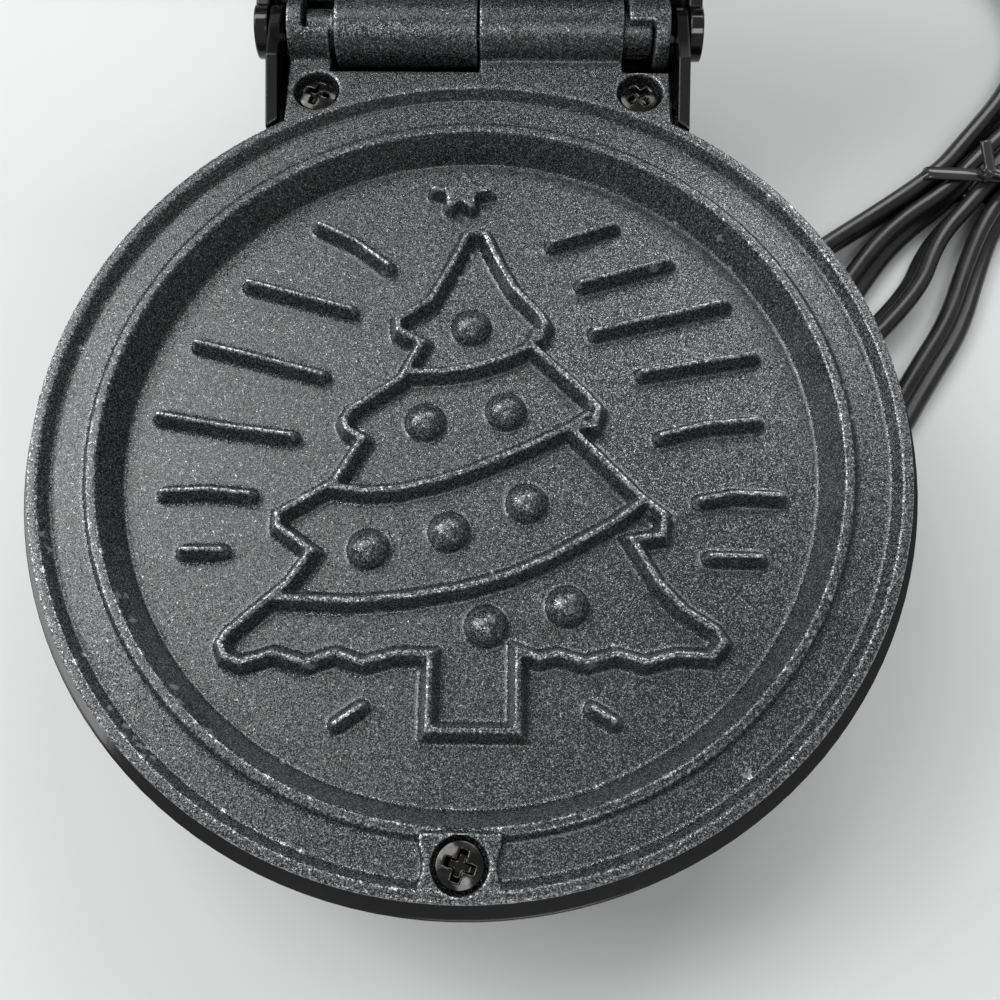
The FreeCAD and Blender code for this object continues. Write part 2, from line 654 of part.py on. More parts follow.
def bowl_inner():
    under_ledge = -RIM_THICKNESS - WALL
    top = (HOUSING_RADIUS - WALL, 0, under_ledge)
    middle = (HOUSING_RADIUS - BASE_BULGE_INSET - WALL, 0, BASE_BULGE_Z)
    low = (BASE_BOTTOM_RADIUS - WALL, 0, BASE_BOTTOM)
    hollow = turned([arc(top, middle, low), line(low, (0, 0, BASE_BOTTOM)),
                     line((0, 0, BASE_BOTTOM), (0, 0, under_ledge)), line((0, 0, under_ledge), top)])
    return hollow.fuse(rod(0, 0, under_ledge, -RIM_THICKNESS, LEDGE_INNER))


def stop_y(z, inset):
    """Place of the base's rear face at a height, set in from the stop plane."""
    tilt = math.radians(90.0 - OPEN_ANGLE / 2)
    return HINGE_Y + (HINGE_Z - z) * STOP_SLOPE - inset / math.cos(tilt)


def base_block(half, top, inset):
    return across([(BLOCK_FRONT, BASE_BOTTOM), (BLOCK_FRONT, top), (stop_y(top, inset), top),
                   (stop_y(BASE_BOTTOM, inset), BASE_BOTTOM)], -half, half)


def base_cheek(side):
    """Wall beside the hinge, kept clear of the plate's rim."""
    top = HINGE_Z + CHEEK_RISE
    front = HINGE_Y - CHEEK_REACH
    outline = [(front, -RIM_THICKNESS), (front + CHEEK_SLOPE, 0), (HINGE_Y - CHEEK_TOP, top), (HINGE_Y, top),
               (stop_y(-RIM_THICKNESS, STOP_GAP), -RIM_THICKNESS)]
    x0, x1 = sorted((side * CHEEK_INNER, side * BLOCK_HALF))
    cheek = fuse([across(outline, x0, x1), rod_along_x(x0, x1, HINGE_Y, HINGE_Z, CHEEK_RISE)])
    return cheek.cut(rod(0, 0, -RIM_THICKNESS, top, PLATE_RADIUS + DISH_CLEARANCE))


def dish_room():
    """Space that the underside of a plate takes inside a housing, with a clearance."""
    wide = BEAD_INNER + PLATE_WALL + DISH_CLEARANCE
    narrow = RECESS_RADIUS + PLATE_WALL + DISH_CLEARANCE
    low = UNDER_FLOOR - DISH_CLEARANCE
    return turned_polygon([(0, -RIM_THICKNESS), (wide, -RIM_THICKNESS), (narrow, low), (0, low)])


def cover_screw_places():
    return [(COVER_SCREW_RING, 0), (-COVER_SCREW_RING, 0), (0, -COVER_SCREW_RING), (0, COVER_SCREW_REAR)]


def base_posts():
    """Screw posts inside the base, each tied to the wall or ceiling."""
    half = POST_RADIUS / 2
    shapes = []
    for x, y in cover_screw_places()[:3]:
        out = HOUSING_RADIUS / COVER_SCREW_RING
        low = V(min(x, x * out) - half * (x == 0), min(y, y * out) - half * (y == 0), COVER_TOP)
        high = V(max(x, x * out) + half * (x == 0), max(y, y * out) + half * (y == 0), COVER_POST_TOP)
        rib = box(low.x, high.x, low.y, high.y, low.z, high.z)
        shapes.append(rod(x, y, COVER_TOP, COVER_POST_TOP, POST_RADIUS).fuse(rib).common(bowl_outer()))
    shapes.append(rod(0, COVER_SCREW_REAR, COVER_TOP, -RIM_THICKNESS - CEILING / 2, POST_RADIUS))
    for x, y in screw_places():
        shapes.append(rod(x, y, -RIM_THICKNESS - SCREW_LENGTH - WALL, -RIM_THICKNESS, POST_RADIUS))
    return shapes


def base_housing():
    body = fuse([bowl_outer(), base_block(BLOCK_HALF, -RIM_THICKNESS, STOP_GAP)])
    hollow = base_block(BLOCK_HALF - WALL, -RIM_THICKNESS - CEILING, STOP_GAP + WALL)
    body = body.cut(bowl_inner()).cut(hollow)
    body = fuse([body, base_cheek(-1), base_cheek(1)] + base_posts()).cut(dish_room())
    trough = BARREL_RADIUS + TROUGH_CLEARANCE
    body = body.cut(rod_along_x(-CHEEK_INNER, CHEEK_INNER, HINGE_Y, HINGE_Z, trough))
    hole = SCREW_RADIUS + SCREW_CLEARANCE
    for x, y in cover_screw_places():
        body = body.cut(rod(x, y, COVER_TOP, COVER_TOP + SCREW_LENGTH, hole))
    for x, y in screw_places():
        body = body.cut(rod(x, y, -RIM_THICKNESS - SCREW_LENGTH, -RIM_THICKNESS, hole))
    gland = rod_along_y(GLAND_X, TABLE + GLAND_HEIGHT, HINGE_Y, 2 * HINGE_Y, GLAND_NECK + SCREW_CLEARANCE)
    return body.cut(gland)


def bottom_cover():
    disc = rod(0, 0, BASE_BOTTOM, COVER_TOP, BASE_BOTTOM_RADIUS - WALL - COVER_GAP)
    half = BLOCK_HALF - WALL - COVER_GAP
    tail = box(-half, half, 0, stop_y(COVER_TOP, STOP_GAP + WALL + COVER_GAP), BASE_BOTTOM, COVER_TOP)
    cover = fuse([disc, tail])
    for x, y in cover_screw_places():
        cover = cover.cut(rod(x, y, BASE_BOTTOM, COVER_TOP, SCREW_RADIUS + SCREW_CLEARANCE))
    return cover


def cover_screws():
    shapes = []
    for x, y in cover_screw_places():
        piece = screw(SCREW_LENGTH)
        piece.rotate(V(0, 0, 0), V(1, 0, 0), 180)
        piece.translate(V(x, y, BASE_BOTTOM))
        shapes.append(piece)
    return Part.makeCompound(shapes)


def feet():
    shapes = []
    for x, y in (FRONT_FOOT, REAR_FOOT):
        for sign in (-1, 1):
            foot = Part.makeCone(FOOT_RADIUS - WALL / 2, FOOT_RADIUS, FOOT_HEIGHT, V(sign * x, y, TABLE))
            shapes.append(foot)
    return Part.makeCompound(shapes)


# Lid, built closed above the plate
def lid_outer(gap=0.0):
    """Solid dome of the lid, grown outward by a gap where another piece seats on it."""
    rim = (HOUSING_RADIUS + gap, 0, PARTING + RIM_THICKNESS)
    bulge = (HOUSING_RADIUS - LID_BULGE_INSET + gap, 0, LID_CROWN - LID_BULGE_DROP)
    shoulder = (HOUSING_RADIUS - LID_SHOULDER_INSET + gap, 0, LID_CROWN - LID_SHOULDER_DROP + gap)
    crown = (0, 0, LID_CROWN + gap)
    floor = (0, 0, PARTING + RIM_THICKNESS)
    return turned([arc(rim, bulge, shoulder), dome_arc(shoulder[0], LID_SHOULDER_DROP, shoulder[2]),
                   line(crown, floor), line(floor, rim)])


def lid_inner():
    ledge = PARTING + RIM_THICKNESS + WALL
    rim = (HOUSING_RADIUS - WALL, 0, ledge)
    bulge = (HOUSING_RADIUS - LID_BULGE_INSET - WALL, 0, LID_CROWN - LID_BULGE_DROP - WALL / 2)
    shoulder = (HOUSING_RADIUS - LID_SHOULDER_INSET - WALL / 2, 0, LID_CROWN - LID_SHOULDER_DROP - WALL)
    crown = (0, 0, LID_CROWN - WALL)
    floor = (0, 0, ledge)
    hollow = turned([arc(rim, bulge, shoulder), dome_arc(shoulder[0], LID_SHOULDER_DROP, shoulder[2]),
                     line(crown, floor), line(floor, rim)])
    return hollow.fuse(rod(0, 0, PARTING + RIM_THICKNESS, ledge, LEDGE_INNER))


def lid_block(half, low, inset):
    """Hinge block of the lid: its rear face rests on the base when the lid is open."""
    lean = math.radians(OPEN_ANGLE / 2)
    reach = LID_BLOCK_REACH - inset
    out = inset / math.sin(lean)
    rear_low = (low / math.tan(lean) - out, low)
    rear_high = (reach * math.cos(lean) - out, reach * math.sin(lean))
    crest = (rear_high[0] - CHEEK_RISE, rear_high[1] + CHEEK_RISE)
    front = -HINGE_Y + BLOCK_FRONT
    outline = [(front, low), rear_low, rear_high, crest, (front, crest[1] + WALL)]
    return across(about_hinge(outline), -half, half)


def lid_cheek(side):
    low = RIM_THICKNESS + HINGE_Z + WALL
    outline = about_hinge([(-3 * LID_EAR_RADIUS, low), (-LID_EAR_RADIUS, 0), (LID_EAR_RADIUS, 0),
                           (LID_EAR_RADIUS, low)])
    x0, x1 = sorted((side * LID_CHEEK_INNER, side * LID_BLOCK_HALF))
    return fuse([across(outline, x0, x1), rod_along_x(x0, x1, HINGE_Y, HINGE_Z, LID_EAR_RADIUS)])


def lid_housing():
    low = RIM_THICKNESS + HINGE_Z
    body = fuse([lid_outer(), lid_block(LID_BLOCK_HALF, low, STOP_GAP)])
    body = body.cut(lid_inner()).cut(lid_block(LID_BLOCK_HALF - WALL, low + CEILING, STOP_GAP + WALL))
    posts = []
    for x, y in screw_places():
        top = PARTING + RIM_THICKNESS + SCREW_LENGTH + WALL
        posts.append(rod(x, y, PARTING + RIM_THICKNESS, top, POST_RADIUS))
    body = fuse([body, lid_cheek(-1), lid_cheek(1)] + posts).cut(turned_over(dish_room()))
    trough = BARREL_RADIUS + TROUGH_CLEARANCE
    body = body.cut(rod_along_x(-CHEEK_INNER, CHEEK_INNER, HINGE_Y, HINGE_Z, trough))
    hole = SCREW_RADIUS + SCREW_CLEARANCE
    for x, y in screw_places():
        body = body.cut(rod(x, y, PARTING + RIM_THICKNESS, PARTING + RIM_THICKNESS + SCREW_LENGTH, hole))
    inside = WALL - LEDGE_INNER
    for sign in (-1, 1):
        body = body.cut(rod_along_y(sign * HANDLE_SCREW_X, handle_screw_z(), -HOUSING_RADIUS, inside, hole))
    return body.cut(rod(0, 0, LID_CROWN - 2 * WALL, LID_CROWN, LENS_RADIUS + SCREW_CLEARANCE))


def handle_screw_z():
    return (HANDLE_BOTTOM + HANDLE_TOP) / 2


def lid_handle():
    grip = box(-HANDLE_HALF_WIDTH, HANDLE_HALF_WIDTH, -HOUSING_RADIUS - HANDLE_LENGTH, -LEDGE_INNER + WALL,
               HANDLE_BOTTOM, HANDLE_TOP)
    grip = grip.makeFillet(HANDLE_ROUND, [e for e in grip.Edges if e.BoundBox.YMax < -HOUSING_RADIUS])
    grip = grip.cut(lid_outer(HANDLE_SEAT_GAP))
    for sign in (-1, 1):
        grip = grip.cut(rod_along_y(sign * HANDLE_SCREW_X, handle_screw_z(), -HOUSING_RADIUS - SCREW_LENGTH,
                                    -LEDGE_INNER + WALL, SCREW_RADIUS + SCREW_CLEARANCE))
    return grip


def handle_screws():
    shapes = []
    for sign in (-1, 1):
        piece = screw(SCREW_LENGTH)
        piece.rotate(V(0, 0, 0), V(1, 0, 0), 90)
        piece.translate(V(sign * HANDLE_SCREW_X, 0, handle_screw_z()))
        piece.rotate(V(sign * HANDLE_SCREW_X, 0, handle_screw_z()), V(0, 0, 1), 180)
        piece.translate(V(0, -LEDGE_INNER + WALL + SCREW_HEAD_HEIGHT, 0))
        shapes.append(piece)
    return Part.makeCompound(shapes)


def indicator_lens():
    cap = (0, 0, LID_CROWN + LENS_CAP_HEIGHT)
    edge = (LENS_CAP_RADIUS, 0, LID_CROWN)
    neck = (LENS_RADIUS, 0, LID_CROWN)
    foot = (LENS_RADIUS, 0, LID_CROWN - LENS_STEM)
    axis = (0, 0, LID_CROWN - LENS_STEM)
    return turned([dome_arc(LENS_CAP_RADIUS, LENS_CAP_HEIGHT, LID_CROWN), line(edge, neck), line(neck, foot),
                   line(foot, axis), line(axis, cap)])


def indicator_lamp():
    top = LID_CROWN - LENS_STEM
    return rod(0, 0, top - LAMP_LENGTH, top, LAMP_RADIUS)


def turned_over(shape):
    """A lower piece turned over onto the closed lid."""
    shape.rotate(V(0, 0, HINGE_Z), V(0, 1, 0), 180)
    return shape


def swung_open(shape):
    shape.rotate(V(0, HINGE_Y, HINGE_Z), V(1, 0, 0), -OPEN_ANGLE)
    return shape


# Cord
def strain_relief():
    z = TABLE + GLAND_HEIGHT
    inside = stop_y(z, STOP_GAP + WALL) - GLAND_INSIDE
    collar = stop_y(z - GLAND_COLLAR, 0) + STOP_GAP
    end = LEAD[0][1]
    neck = rod_along_y(GLAND_X, z, inside, collar, GLAND_NECK)
    flange = rod_along_y(GLAND_X, z, inside, inside + WALL, GLAND_FLANGE)
    big = Part.Wire(Part.makeCircle(GLAND_COLLAR, V(GLAND_X, collar, z), V(0, 1, 0)))
    small = Part.Wire(Part.makeCircle(GLAND_END, V(GLAND_X, end, cord_z()), V(0, 1, 0)))
    boot = Part.makeLoft([big, small], True, True)
    return fuse([neck, flange, boot])


def cord_z():
    return TABLE + CORD_LIFT + CORD_WIDTH / 2


def strand(index, along):
    """Where one strand of the hank passes the tie, a distance along it towards its upper end."""
    way = math.radians(TIE_HEADING)
    aside = ((STRANDS - 1) / 2 - index) * STRAND_PITCH
    return (TIE_CENTRE[0] - aside * math.sin(way) + along * math.cos(way),
            TIE_CENTRE[1] + aside * math.cos(way) + along * math.sin(way))


def fold(centre, heading):
    """Two corner points of a half turn that opens back along a heading, the left one first."""
    way = math.radians(heading)
    ahead = (FOLD_RADIUS * math.cos(way), FOLD_RADIUS * math.sin(way))
    left = (-ahead[1], ahead[0])
    tip = (centre[0] + ahead[0], centre[1] + ahead[1])
    return [(tip[0] + left[0], tip[1] + left[1]), (tip[0] - left[0], tip[1] - left[1])]


def hank_points():
    """Strands through the tie and the folds that join them, then the end at the plug."""
    points = []
    for i in range(STRANDS):
        through = [strand(i, TIE_RUN), strand(i, -TIE_RUN)]
        points += through if i % 2 == 0 else through[::-1]
        if i < STRANDS - 1:
            corners = fold(FOLD_CENTRES[i], FOLD_HEADINGS[i])
            points += corners[::-1] if i % 2 == 0 else corners
    return points + PLUG_END


def rounded_route(points):
    """Straight runs joined by arcs as large as the runs allow, and the radii of the arcs."""
    spots = [V(x, y, cord_z()) for x, y in points]
    edges = []
    radii = []
    at = spots[0]
    for before, here, after in zip(spots, spots[1:], spots[2:]):
        back = before - here
        on = after - here
        reach = ARC_SHARE * min(back.Length, on.Length)
        back.normalize()
        on.normalize()
        half_turn = (math.pi - back.getAngle(on)) / 2
        radius = reach / math.tan(half_turn)
        inward = (back + on).normalize()
        first = here + back * reach
        last = here + on * reach
        middle = here + inward * (radius / math.cos(half_turn) - radius)
        edges.append(Part.LineSegment(at, first).toShape())
        edges.append(Part.Arc(first, middle, last).toShape())
        radii.append(radius)
        at = last
    edges.append(Part.LineSegment(at, spots[-1]).toShape())
    return edges, radii


def cord_section(at, way):
    """Flat cord standing on its edge, square to the way it runs."""
    half = CORD_THICKNESS / 2
    straight = CORD_WIDTH / 2 - half
    side = V(-way.y, way.x, 0).normalize() * half
    up = V(0, 0, 1)
    right_low = at - side - up * straight
    right_high = at - side + up * straight
    left_low = at + side - up * straight
    left_high = at + side + up * straight
    crown = at + up * (straight + half)
    keel = at - up * (straight + half)
    return Part.Wire([line(right_low, right_high), arc(right_high, crown, left_high),
                      line(left_high, left_low), arc(left_low, keel, right_low)])


def cord_pieces():
    """The lead and the hank, one unbroken cord cut at the middle of the lead's last run."""
    edges, radii = rounded_route(LEAD + hank_points())
    print("arc radii", [round(r, 1) for r in radii])
    cut = 2 * (len(LEAD) - 2)
    start, end = [vertex.Point for vertex in edges[cut].Vertexes]
    halfway = (start + end) / 2
    parted = [Part.LineSegment(start, halfway).toShape(), Part.LineSegment(halfway, end).toShape()]
    shapes = []
    for name, run in (("lead", edges[:cut] + parted[:1]), ("hank", parted[1:] + edges[cut + 1:])):
        path = Part.Wire(run)
        at, on = [vertex.Point for vertex in run[0].Vertexes]
        section = cord_section(at, on - at)
        solid = path.makePipeShell([section], True, False)
        expected = Part.Face(section).Area * path.Length
        print(name, "length", round(path.Length, 1), "volume ratio", round(solid.Volume / expected, 4))
        shapes.append(solid)
    print("least gap between strands", round(least_gap(path), 2))
    return shapes


def least_gap(path):
    """Smallest free space between stretches of the cord that are not neighbours along it."""
    spots = path.discretize(Distance=1.0)
    apart = int(3 * FOLD_RADIUS)
    nearest = min((a - b).Length for i, a in enumerate(spots) for b in spots[i + apart:])
    return nearest - CORD_THICKNESS


def cord_tie():
    """Flat band round the strands, with its two ends twisted into a short tail."""
    half = (STRANDS - 1) / 2 * STRAND_PITCH + CORD_THICKNESS / 2 + TIE_BAND / 2
    low = TABLE
    high = TABLE + CORD_LIFT + CORD_WIDTH + TIE_BAND / 2
    band = box(-TIE_WIDTH / 2, TIE_WIDTH / 2, -half - TIE_BAND, half + TIE_BAND, low, high + TIE_BAND)
    band = band.cut(box(-TIE_WIDTH / 2, TIE_WIDTH / 2, -half, half, low + TIE_BAND, high))
    tail = Part.makeCylinder(TIE_WIDTH / 4, TIE_TAIL, V(0, -half, high + TIE_BAND), V(*TIE_TAIL_WAY))
    tie = fuse([band, tail])
    tie.rotate(V(0, 0, 0), V(0, 0, 1), TIE_HEADING)
    tie.translate(V(TIE_CENTRE[0], TIE_CENTRE[1], 0))
    return tie


def placed_at_plug(shape):
    shape.rotate(V(0, 0, 0), V(0, 0, 1), PLUG_HEADING)
    shape.translate(V(PLUG_END[-1][0], PLUG_END[-1][1], 0))
    return shape


def plug_body():
    half = PLUG_WIDTH / 2
    tail = CORD_WIDTH
    body = box(tail, PLUG_LENGTH, -half, half, TABLE, TABLE + PLUG_HEIGHT)
    body = body.makeFillet(PLUG_ROUND, body.Edges)
    neck_top = TABLE + CORD_LIFT * 2 + CORD_WIDTH
    neck = box(0, 2 * tail, -CORD_WIDTH / 2, CORD_WIDTH / 2, TABLE + CORD_LIFT / 2, neck_top)
    return placed_at_plug(fuse([body, neck]))


def plug_blades():
    shapes = []
    half = BLADE_THICKNESS / 2
    low = TABLE + (PLUG_HEIGHT - BLADE_WIDTH) / 2
    for sign in (-1, 1):
        y = sign * BLADE_SPACING / 2
        blade = box(PLUG_LENGTH, PLUG_LENGTH + BLADE_LENGTH, y - half, y + half, low, low + BLADE_WIDTH)
        shapes.append(placed_at_plug(blade))
    return Part.makeCompound(shapes)


def all_pieces():
    lead, hank = cord_pieces()
    cord = {
        "power_cord_lead": lead, "power_cord_hank": hank, "cord_tie": cord_tie(),
        "plug_body": plug_body(), "plug_blades": plug_blades(),
    }
    base = {
        "base_housing": base_housing(), "bottom_cover": bottom_cover(), "bottom_cover_screws": cover_screws(),
        "feet": feet(), "lower_plate": baking_plate(fir_tree()), "lower_plate_screws": plate_screws(),
        "lower_heater": heater(), "lower_heater_clamp": heater_clamp(), "lower_clamp_screw": clamp_screw(),
        "lower_reflector": reflector(), "thermostat": thermostat(), "thermal_fuse": thermal_fuse(),
        "terminal_block": terminal_block(), "base_wires": wires(COVER_TOP + TERMINAL_SIZE[2], None),
        "strain_relief": strain_relief(),
    }
    lid = {
        "lid_housing": lid_housing(), "lid_handle": lid_handle(), "lid_handle_screws": handle_screws(),
        "upper_plate": turned_over(baking_plate(waffle_grid())),
        "upper_plate_screws": turned_over(plate_screws()),
        "upper_heater": turned_over(heater()), "upper_heater_clamp": turned_over(heater_clamp()),
        "upper_clamp_screw": turned_over(clamp_screw()), "upper_reflector": turned_over(reflector()),
        "lid_wires": turned_over(wires(None, LID_WIRE_REAR)), "indicator_lens": indicator_lens(),
        "indicator_lamp": indicator_lamp(),
    }
    for shape in lid.values():
        swung_open(shape)
    return base, lid, cord


def main():
    base, lid, cord = all_pieces()
    body = Part.makeCompound(list(base.values()) + list(lid.values()))
    limits = body.optimalBoundingBox(False)
    shift = V(-(limits.XMin + limits.XMax) / 2, -(limits.YMin + limits.YMax) / 2, -TABLE)
    print("shift", shift, "hinge at", V(0, HINGE_Y, HINGE_Z) + shift)
    os.makedirs("parts", exist_ok=True)
    for name, shape in {**base, **lid, **cord}.items():
        shape.translate(shift)
        print(name, len(shape.Solids), shape.isValid(), round(shape.Volume, 1))
        shape.exportStep("parts/" + name + ".step")


main()
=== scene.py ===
"""Looks of a round mini waffle maker: fir tree plate, lid leaning open, flat cord tied in a hank.

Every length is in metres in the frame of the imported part. Sizes given in millimetres are
multiplied by MM where they are used.
"""

import json
import logging
import math
from dataclasses import dataclass, field
from enum import Enum
from typing import Callable, Optional, Sequence

import bmesh
import bpy
from mathutils import Matrix, Vector

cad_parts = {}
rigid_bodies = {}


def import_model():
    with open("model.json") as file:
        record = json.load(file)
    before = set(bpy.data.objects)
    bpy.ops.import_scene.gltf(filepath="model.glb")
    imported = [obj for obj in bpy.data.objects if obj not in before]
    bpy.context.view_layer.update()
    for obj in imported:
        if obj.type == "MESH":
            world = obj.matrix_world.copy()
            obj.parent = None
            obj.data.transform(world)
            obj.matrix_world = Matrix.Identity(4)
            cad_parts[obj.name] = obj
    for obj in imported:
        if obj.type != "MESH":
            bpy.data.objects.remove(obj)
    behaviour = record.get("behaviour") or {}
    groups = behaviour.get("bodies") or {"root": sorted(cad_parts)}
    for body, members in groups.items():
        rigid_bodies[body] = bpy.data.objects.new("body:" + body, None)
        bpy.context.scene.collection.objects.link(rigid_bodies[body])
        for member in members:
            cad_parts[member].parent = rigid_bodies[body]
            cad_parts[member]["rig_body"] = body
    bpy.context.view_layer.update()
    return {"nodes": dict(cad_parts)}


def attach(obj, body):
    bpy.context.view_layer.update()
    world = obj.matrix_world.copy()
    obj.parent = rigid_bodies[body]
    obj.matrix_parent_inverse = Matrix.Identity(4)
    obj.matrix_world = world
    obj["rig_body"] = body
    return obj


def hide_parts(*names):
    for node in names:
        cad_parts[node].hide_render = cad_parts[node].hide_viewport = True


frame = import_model()

MM = 0.001
CURVE_ORDER = 3
SMOOTHING = 0.5
MIX_FIRST = 6
MIX_SECOND = 7
MIX_RESULT = 2
RAY_SAMPLES = 8
log = logging.getLogger("waffle_maker")

Colour = tuple[float, float, float, float]
Socket = bpy.types.NodeSocket
Piece = bpy.types.Object


def grey(level: float, warm: float = 0.0) -> Colour:
    """Neutral linear colour, a little warmer or cooler."""
    return (level * (1 + warm), level, level * (1 - warm), 1.0)


class Graph:
    """Node tree of one material, with short calls for the nodes that the finishes share."""

    def __init__(self, name: str) -> None:
        """Start a material with one principled shader."""
        self.material = bpy.data.materials.new(name)
        self.material.use_nodes = True
        self.tree = self.material.node_tree
        self.tree.nodes.clear()
        self.shader = self.tree.nodes.new("ShaderNodeBsdfPrincipled")
        output = self.tree.nodes.new("ShaderNodeOutputMaterial")
        self.join(self.shader.outputs["BSDF"], output.inputs["Surface"])
        self.place = self.tree.nodes.new("ShaderNodeTexCoord").outputs["Object"]

    def join(self, start: Socket, end: Socket) -> None:
        """Link two sockets."""
        self.tree.links.new(start, end)

    def put(self, **values: object) -> None:
        """Set shader sockets, named with underscores for spaces."""
        for name, value in values.items():
            self.shader.inputs[name.replace("_", " ")].default_value = value

    def feed(self, start: Socket, name: str) -> None:
        """Link a socket to a named socket of the shader."""
        self.join(start, self.shader.inputs[name])

    def stretched(self, scale: Sequence[float]) -> Socket:
        """Object coordinates scaled apart along the three axes."""
        node = self.tree.nodes.new("ShaderNodeMapping")
        node.inputs["Scale"].default_value = scale
        self.join(self.place, node.inputs["Vector"])
        return node.outputs["Vector"]

    def noise(
        self, size: float, detail: float = 3.0, rough: float = 0.55, at: Optional[Socket] = None
    ) -> Socket:
        """Cloudy pattern.

        Args:
            size: Width of one cloud, in metres.
            detail: Octaves of finer clouds.
            rough: Share of each finer octave.
            at: Coordinates to use instead of the object's own.

        Returns:
            Value socket between 0 and 1.
        """
        node = self.tree.nodes.new("ShaderNodeTexNoise")
        node.inputs["Scale"].default_value = 1.0 / size
        node.inputs["Detail"].default_value = detail
        node.inputs["Roughness"].default_value = rough
        self.join(at or self.place, node.inputs["Vector"])
        return node.outputs["Fac"]

    def flakes(self, size: float) -> Socket:
        """Small cells, each with its own even value between 0 and 1."""
        node = self.tree.nodes.new("ShaderNodeTexVoronoi")
        node.inputs["Scale"].default_value = 1.0 / size
        self.join(self.place, node.inputs["Vector"])
        split = self.tree.nodes.new("ShaderNodeSeparateColor")
        self.join(node.outputs["Color"], split.inputs["Color"])
        return split.outputs["Red"]

    def ramp(self, value: Socket, stops: Sequence[tuple[float, Colour]]) -> Socket:
        """Colour ramp.

        Args:
            value: Value socket that drives the ramp.
            stops: Places and colours, in order.

        Returns:
            Colour socket.
        """
        node = self.tree.nodes.new("ShaderNodeValToRGB")
        while len(node.color_ramp.elements) < len(stops):
            node.color_ramp.elements.new(1.0)
        for element, (place, colour) in zip(node.color_ramp.elements, stops):
            element.position = place
            element.color = colour
        self.join(value, node.inputs["Fac"])
        return node.outputs["Color"]

    def levels(self, value: Socket, low: float, high: float, start: float = 0.3, end: float = 0.7) -> Socket:
        """Value socket that goes from low to high as the given one goes from start to end."""
        node = self.tree.nodes.new("ShaderNodeMapRange")
        for name, number in (("From Min", start), ("From Max", end), ("To Min", low), ("To Max", high)):
            node.inputs[name].default_value = number
        self.join(value, node.inputs["Value"])
        return node.outputs["Result"]

    def sum(self, kind: str, first: Socket, second: object) -> Socket:
        """Arithmetic on a socket and a socket or number."""
        node = self.tree.nodes.new("ShaderNodeMath")
        node.operation = kind
        self.join(first, node.inputs[0])
        if isinstance(second, bpy.types.NodeSocket):
            self.join(second, node.inputs[1])
        else:
            node.inputs[1].default_value = second
        return node.outputs["Value"]

    def mix(self, share: Socket, first: Socket, second: object) -> Socket:
        """Colour between two, by a share socket; the second may be a fixed colour."""
        node = self.tree.nodes.new("ShaderNodeMix")
        node.data_type = "RGBA"
        self.join(share, node.inputs[0])
        self.join(first, node.inputs[MIX_FIRST])
        if isinstance(second, bpy.types.NodeSocket):
            self.join(second, node.inputs[MIX_SECOND])
        else:
            node.inputs[MIX_SECOND].default_value = second
        return node.outputs[MIX_RESULT]

    def bump(
        self, height: Socket, depth: float, strength: float = 0.6, facing: Optional[Socket] = None
    ) -> None:
        """Feed a height socket to the shader's normal.

        Args:
            height: Value socket of the relief.
            depth: Depth of the relief, in metres.
            strength: Share of the relief that shows.
            facing: Normal to start from instead of the surface's own.
        """
        node = self.tree.nodes.new("ShaderNodeBump")
        node.inputs["Strength"].default_value = strength
        node.inputs["Distance"].default_value = depth
        self.join(height, node.inputs["Height"])
        if facing is not None:
            self.join(facing, node.inputs["Normal"])
        self.feed(node.outputs["Normal"], "Normal")

    def tipped(self, size: float, amount: float) -> Socket:
        """Surface normal, tipped a different way in each small flake.

        Args:
            size: Width of one flake, in metres.
            amount: Most that a flake tips, as a share of the normal's length.

        Returns:
            Vector socket.
        """
        cells = self.tree.nodes.new("ShaderNodeTexVoronoi")
        cells.inputs["Scale"].default_value = 1.0 / size
        self.join(self.place, cells.inputs["Vector"])
        centred = self.tree.nodes.new("ShaderNodeVectorMath")
        centred.operation = "SUBTRACT"
        self.join(cells.outputs["Color"], centred.inputs[0])
        centred.inputs[1].default_value = (0.5, 0.5, 0.5)
        leaning = self.tree.nodes.new("ShaderNodeVectorMath")
        leaning.operation = "MULTIPLY_ADD"
        self.join(centred.outputs["Vector"], leaning.inputs[0])
        leaning.inputs[1].default_value = (2 * amount, 2 * amount, 2 * amount)
        self.join(self.tree.nodes.new("ShaderNodeNewGeometry").outputs["Normal"], leaning.inputs[2])
        unit = self.tree.nodes.new("ShaderNodeVectorMath")
        unit.operation = "NORMALIZE"
        self.join(leaning.outputs["Vector"], unit.inputs[0])
        return unit.outputs["Vector"]

    def edges(self) -> Socket:
        """Value socket that is above a half on outward edges and below it in corners."""
        return self.tree.nodes.new("ShaderNodeNewGeometry").outputs["Pointiness"]

    def rounded(self, radius: float) -> Socket:
        """Surface normal, rounded over sharp edges by a radius in metres."""
        node = self.tree.nodes.new("ShaderNodeBevel")
        node.samples = RAY_SAMPLES
        node.inputs["Radius"].default_value = radius
        return node.outputs["Normal"]

    def open_sky(self, reach: float) -> Socket:
        """Value socket that is 1 on open surfaces and falls to 0 in hollows of a reach in metres."""
        node = self.tree.nodes.new("ShaderNodeAmbientOcclusion")
        node.samples = RAY_SAMPLES
        node.inputs["Distance"].default_value = reach
        return node.outputs["AO"]

    def near(self, spots: Sequence[Sequence[float]], reach: float) -> Socket:
        """Value socket that is 1 at any of the spots and falls to 0 at a reach from them."""
        nearest = None
        for spot in spots:
            node = self.tree.nodes.new("ShaderNodeVectorMath")
            node.operation = "DISTANCE"
            self.join(self.place, node.inputs[0])
            node.inputs[1].default_value = spot
            found = node.outputs["Value"]
            nearest = found if nearest is None else self.sum("MINIMUM", nearest, found)
        return self.levels(nearest, 1.0, 0.0, 0.0, reach)


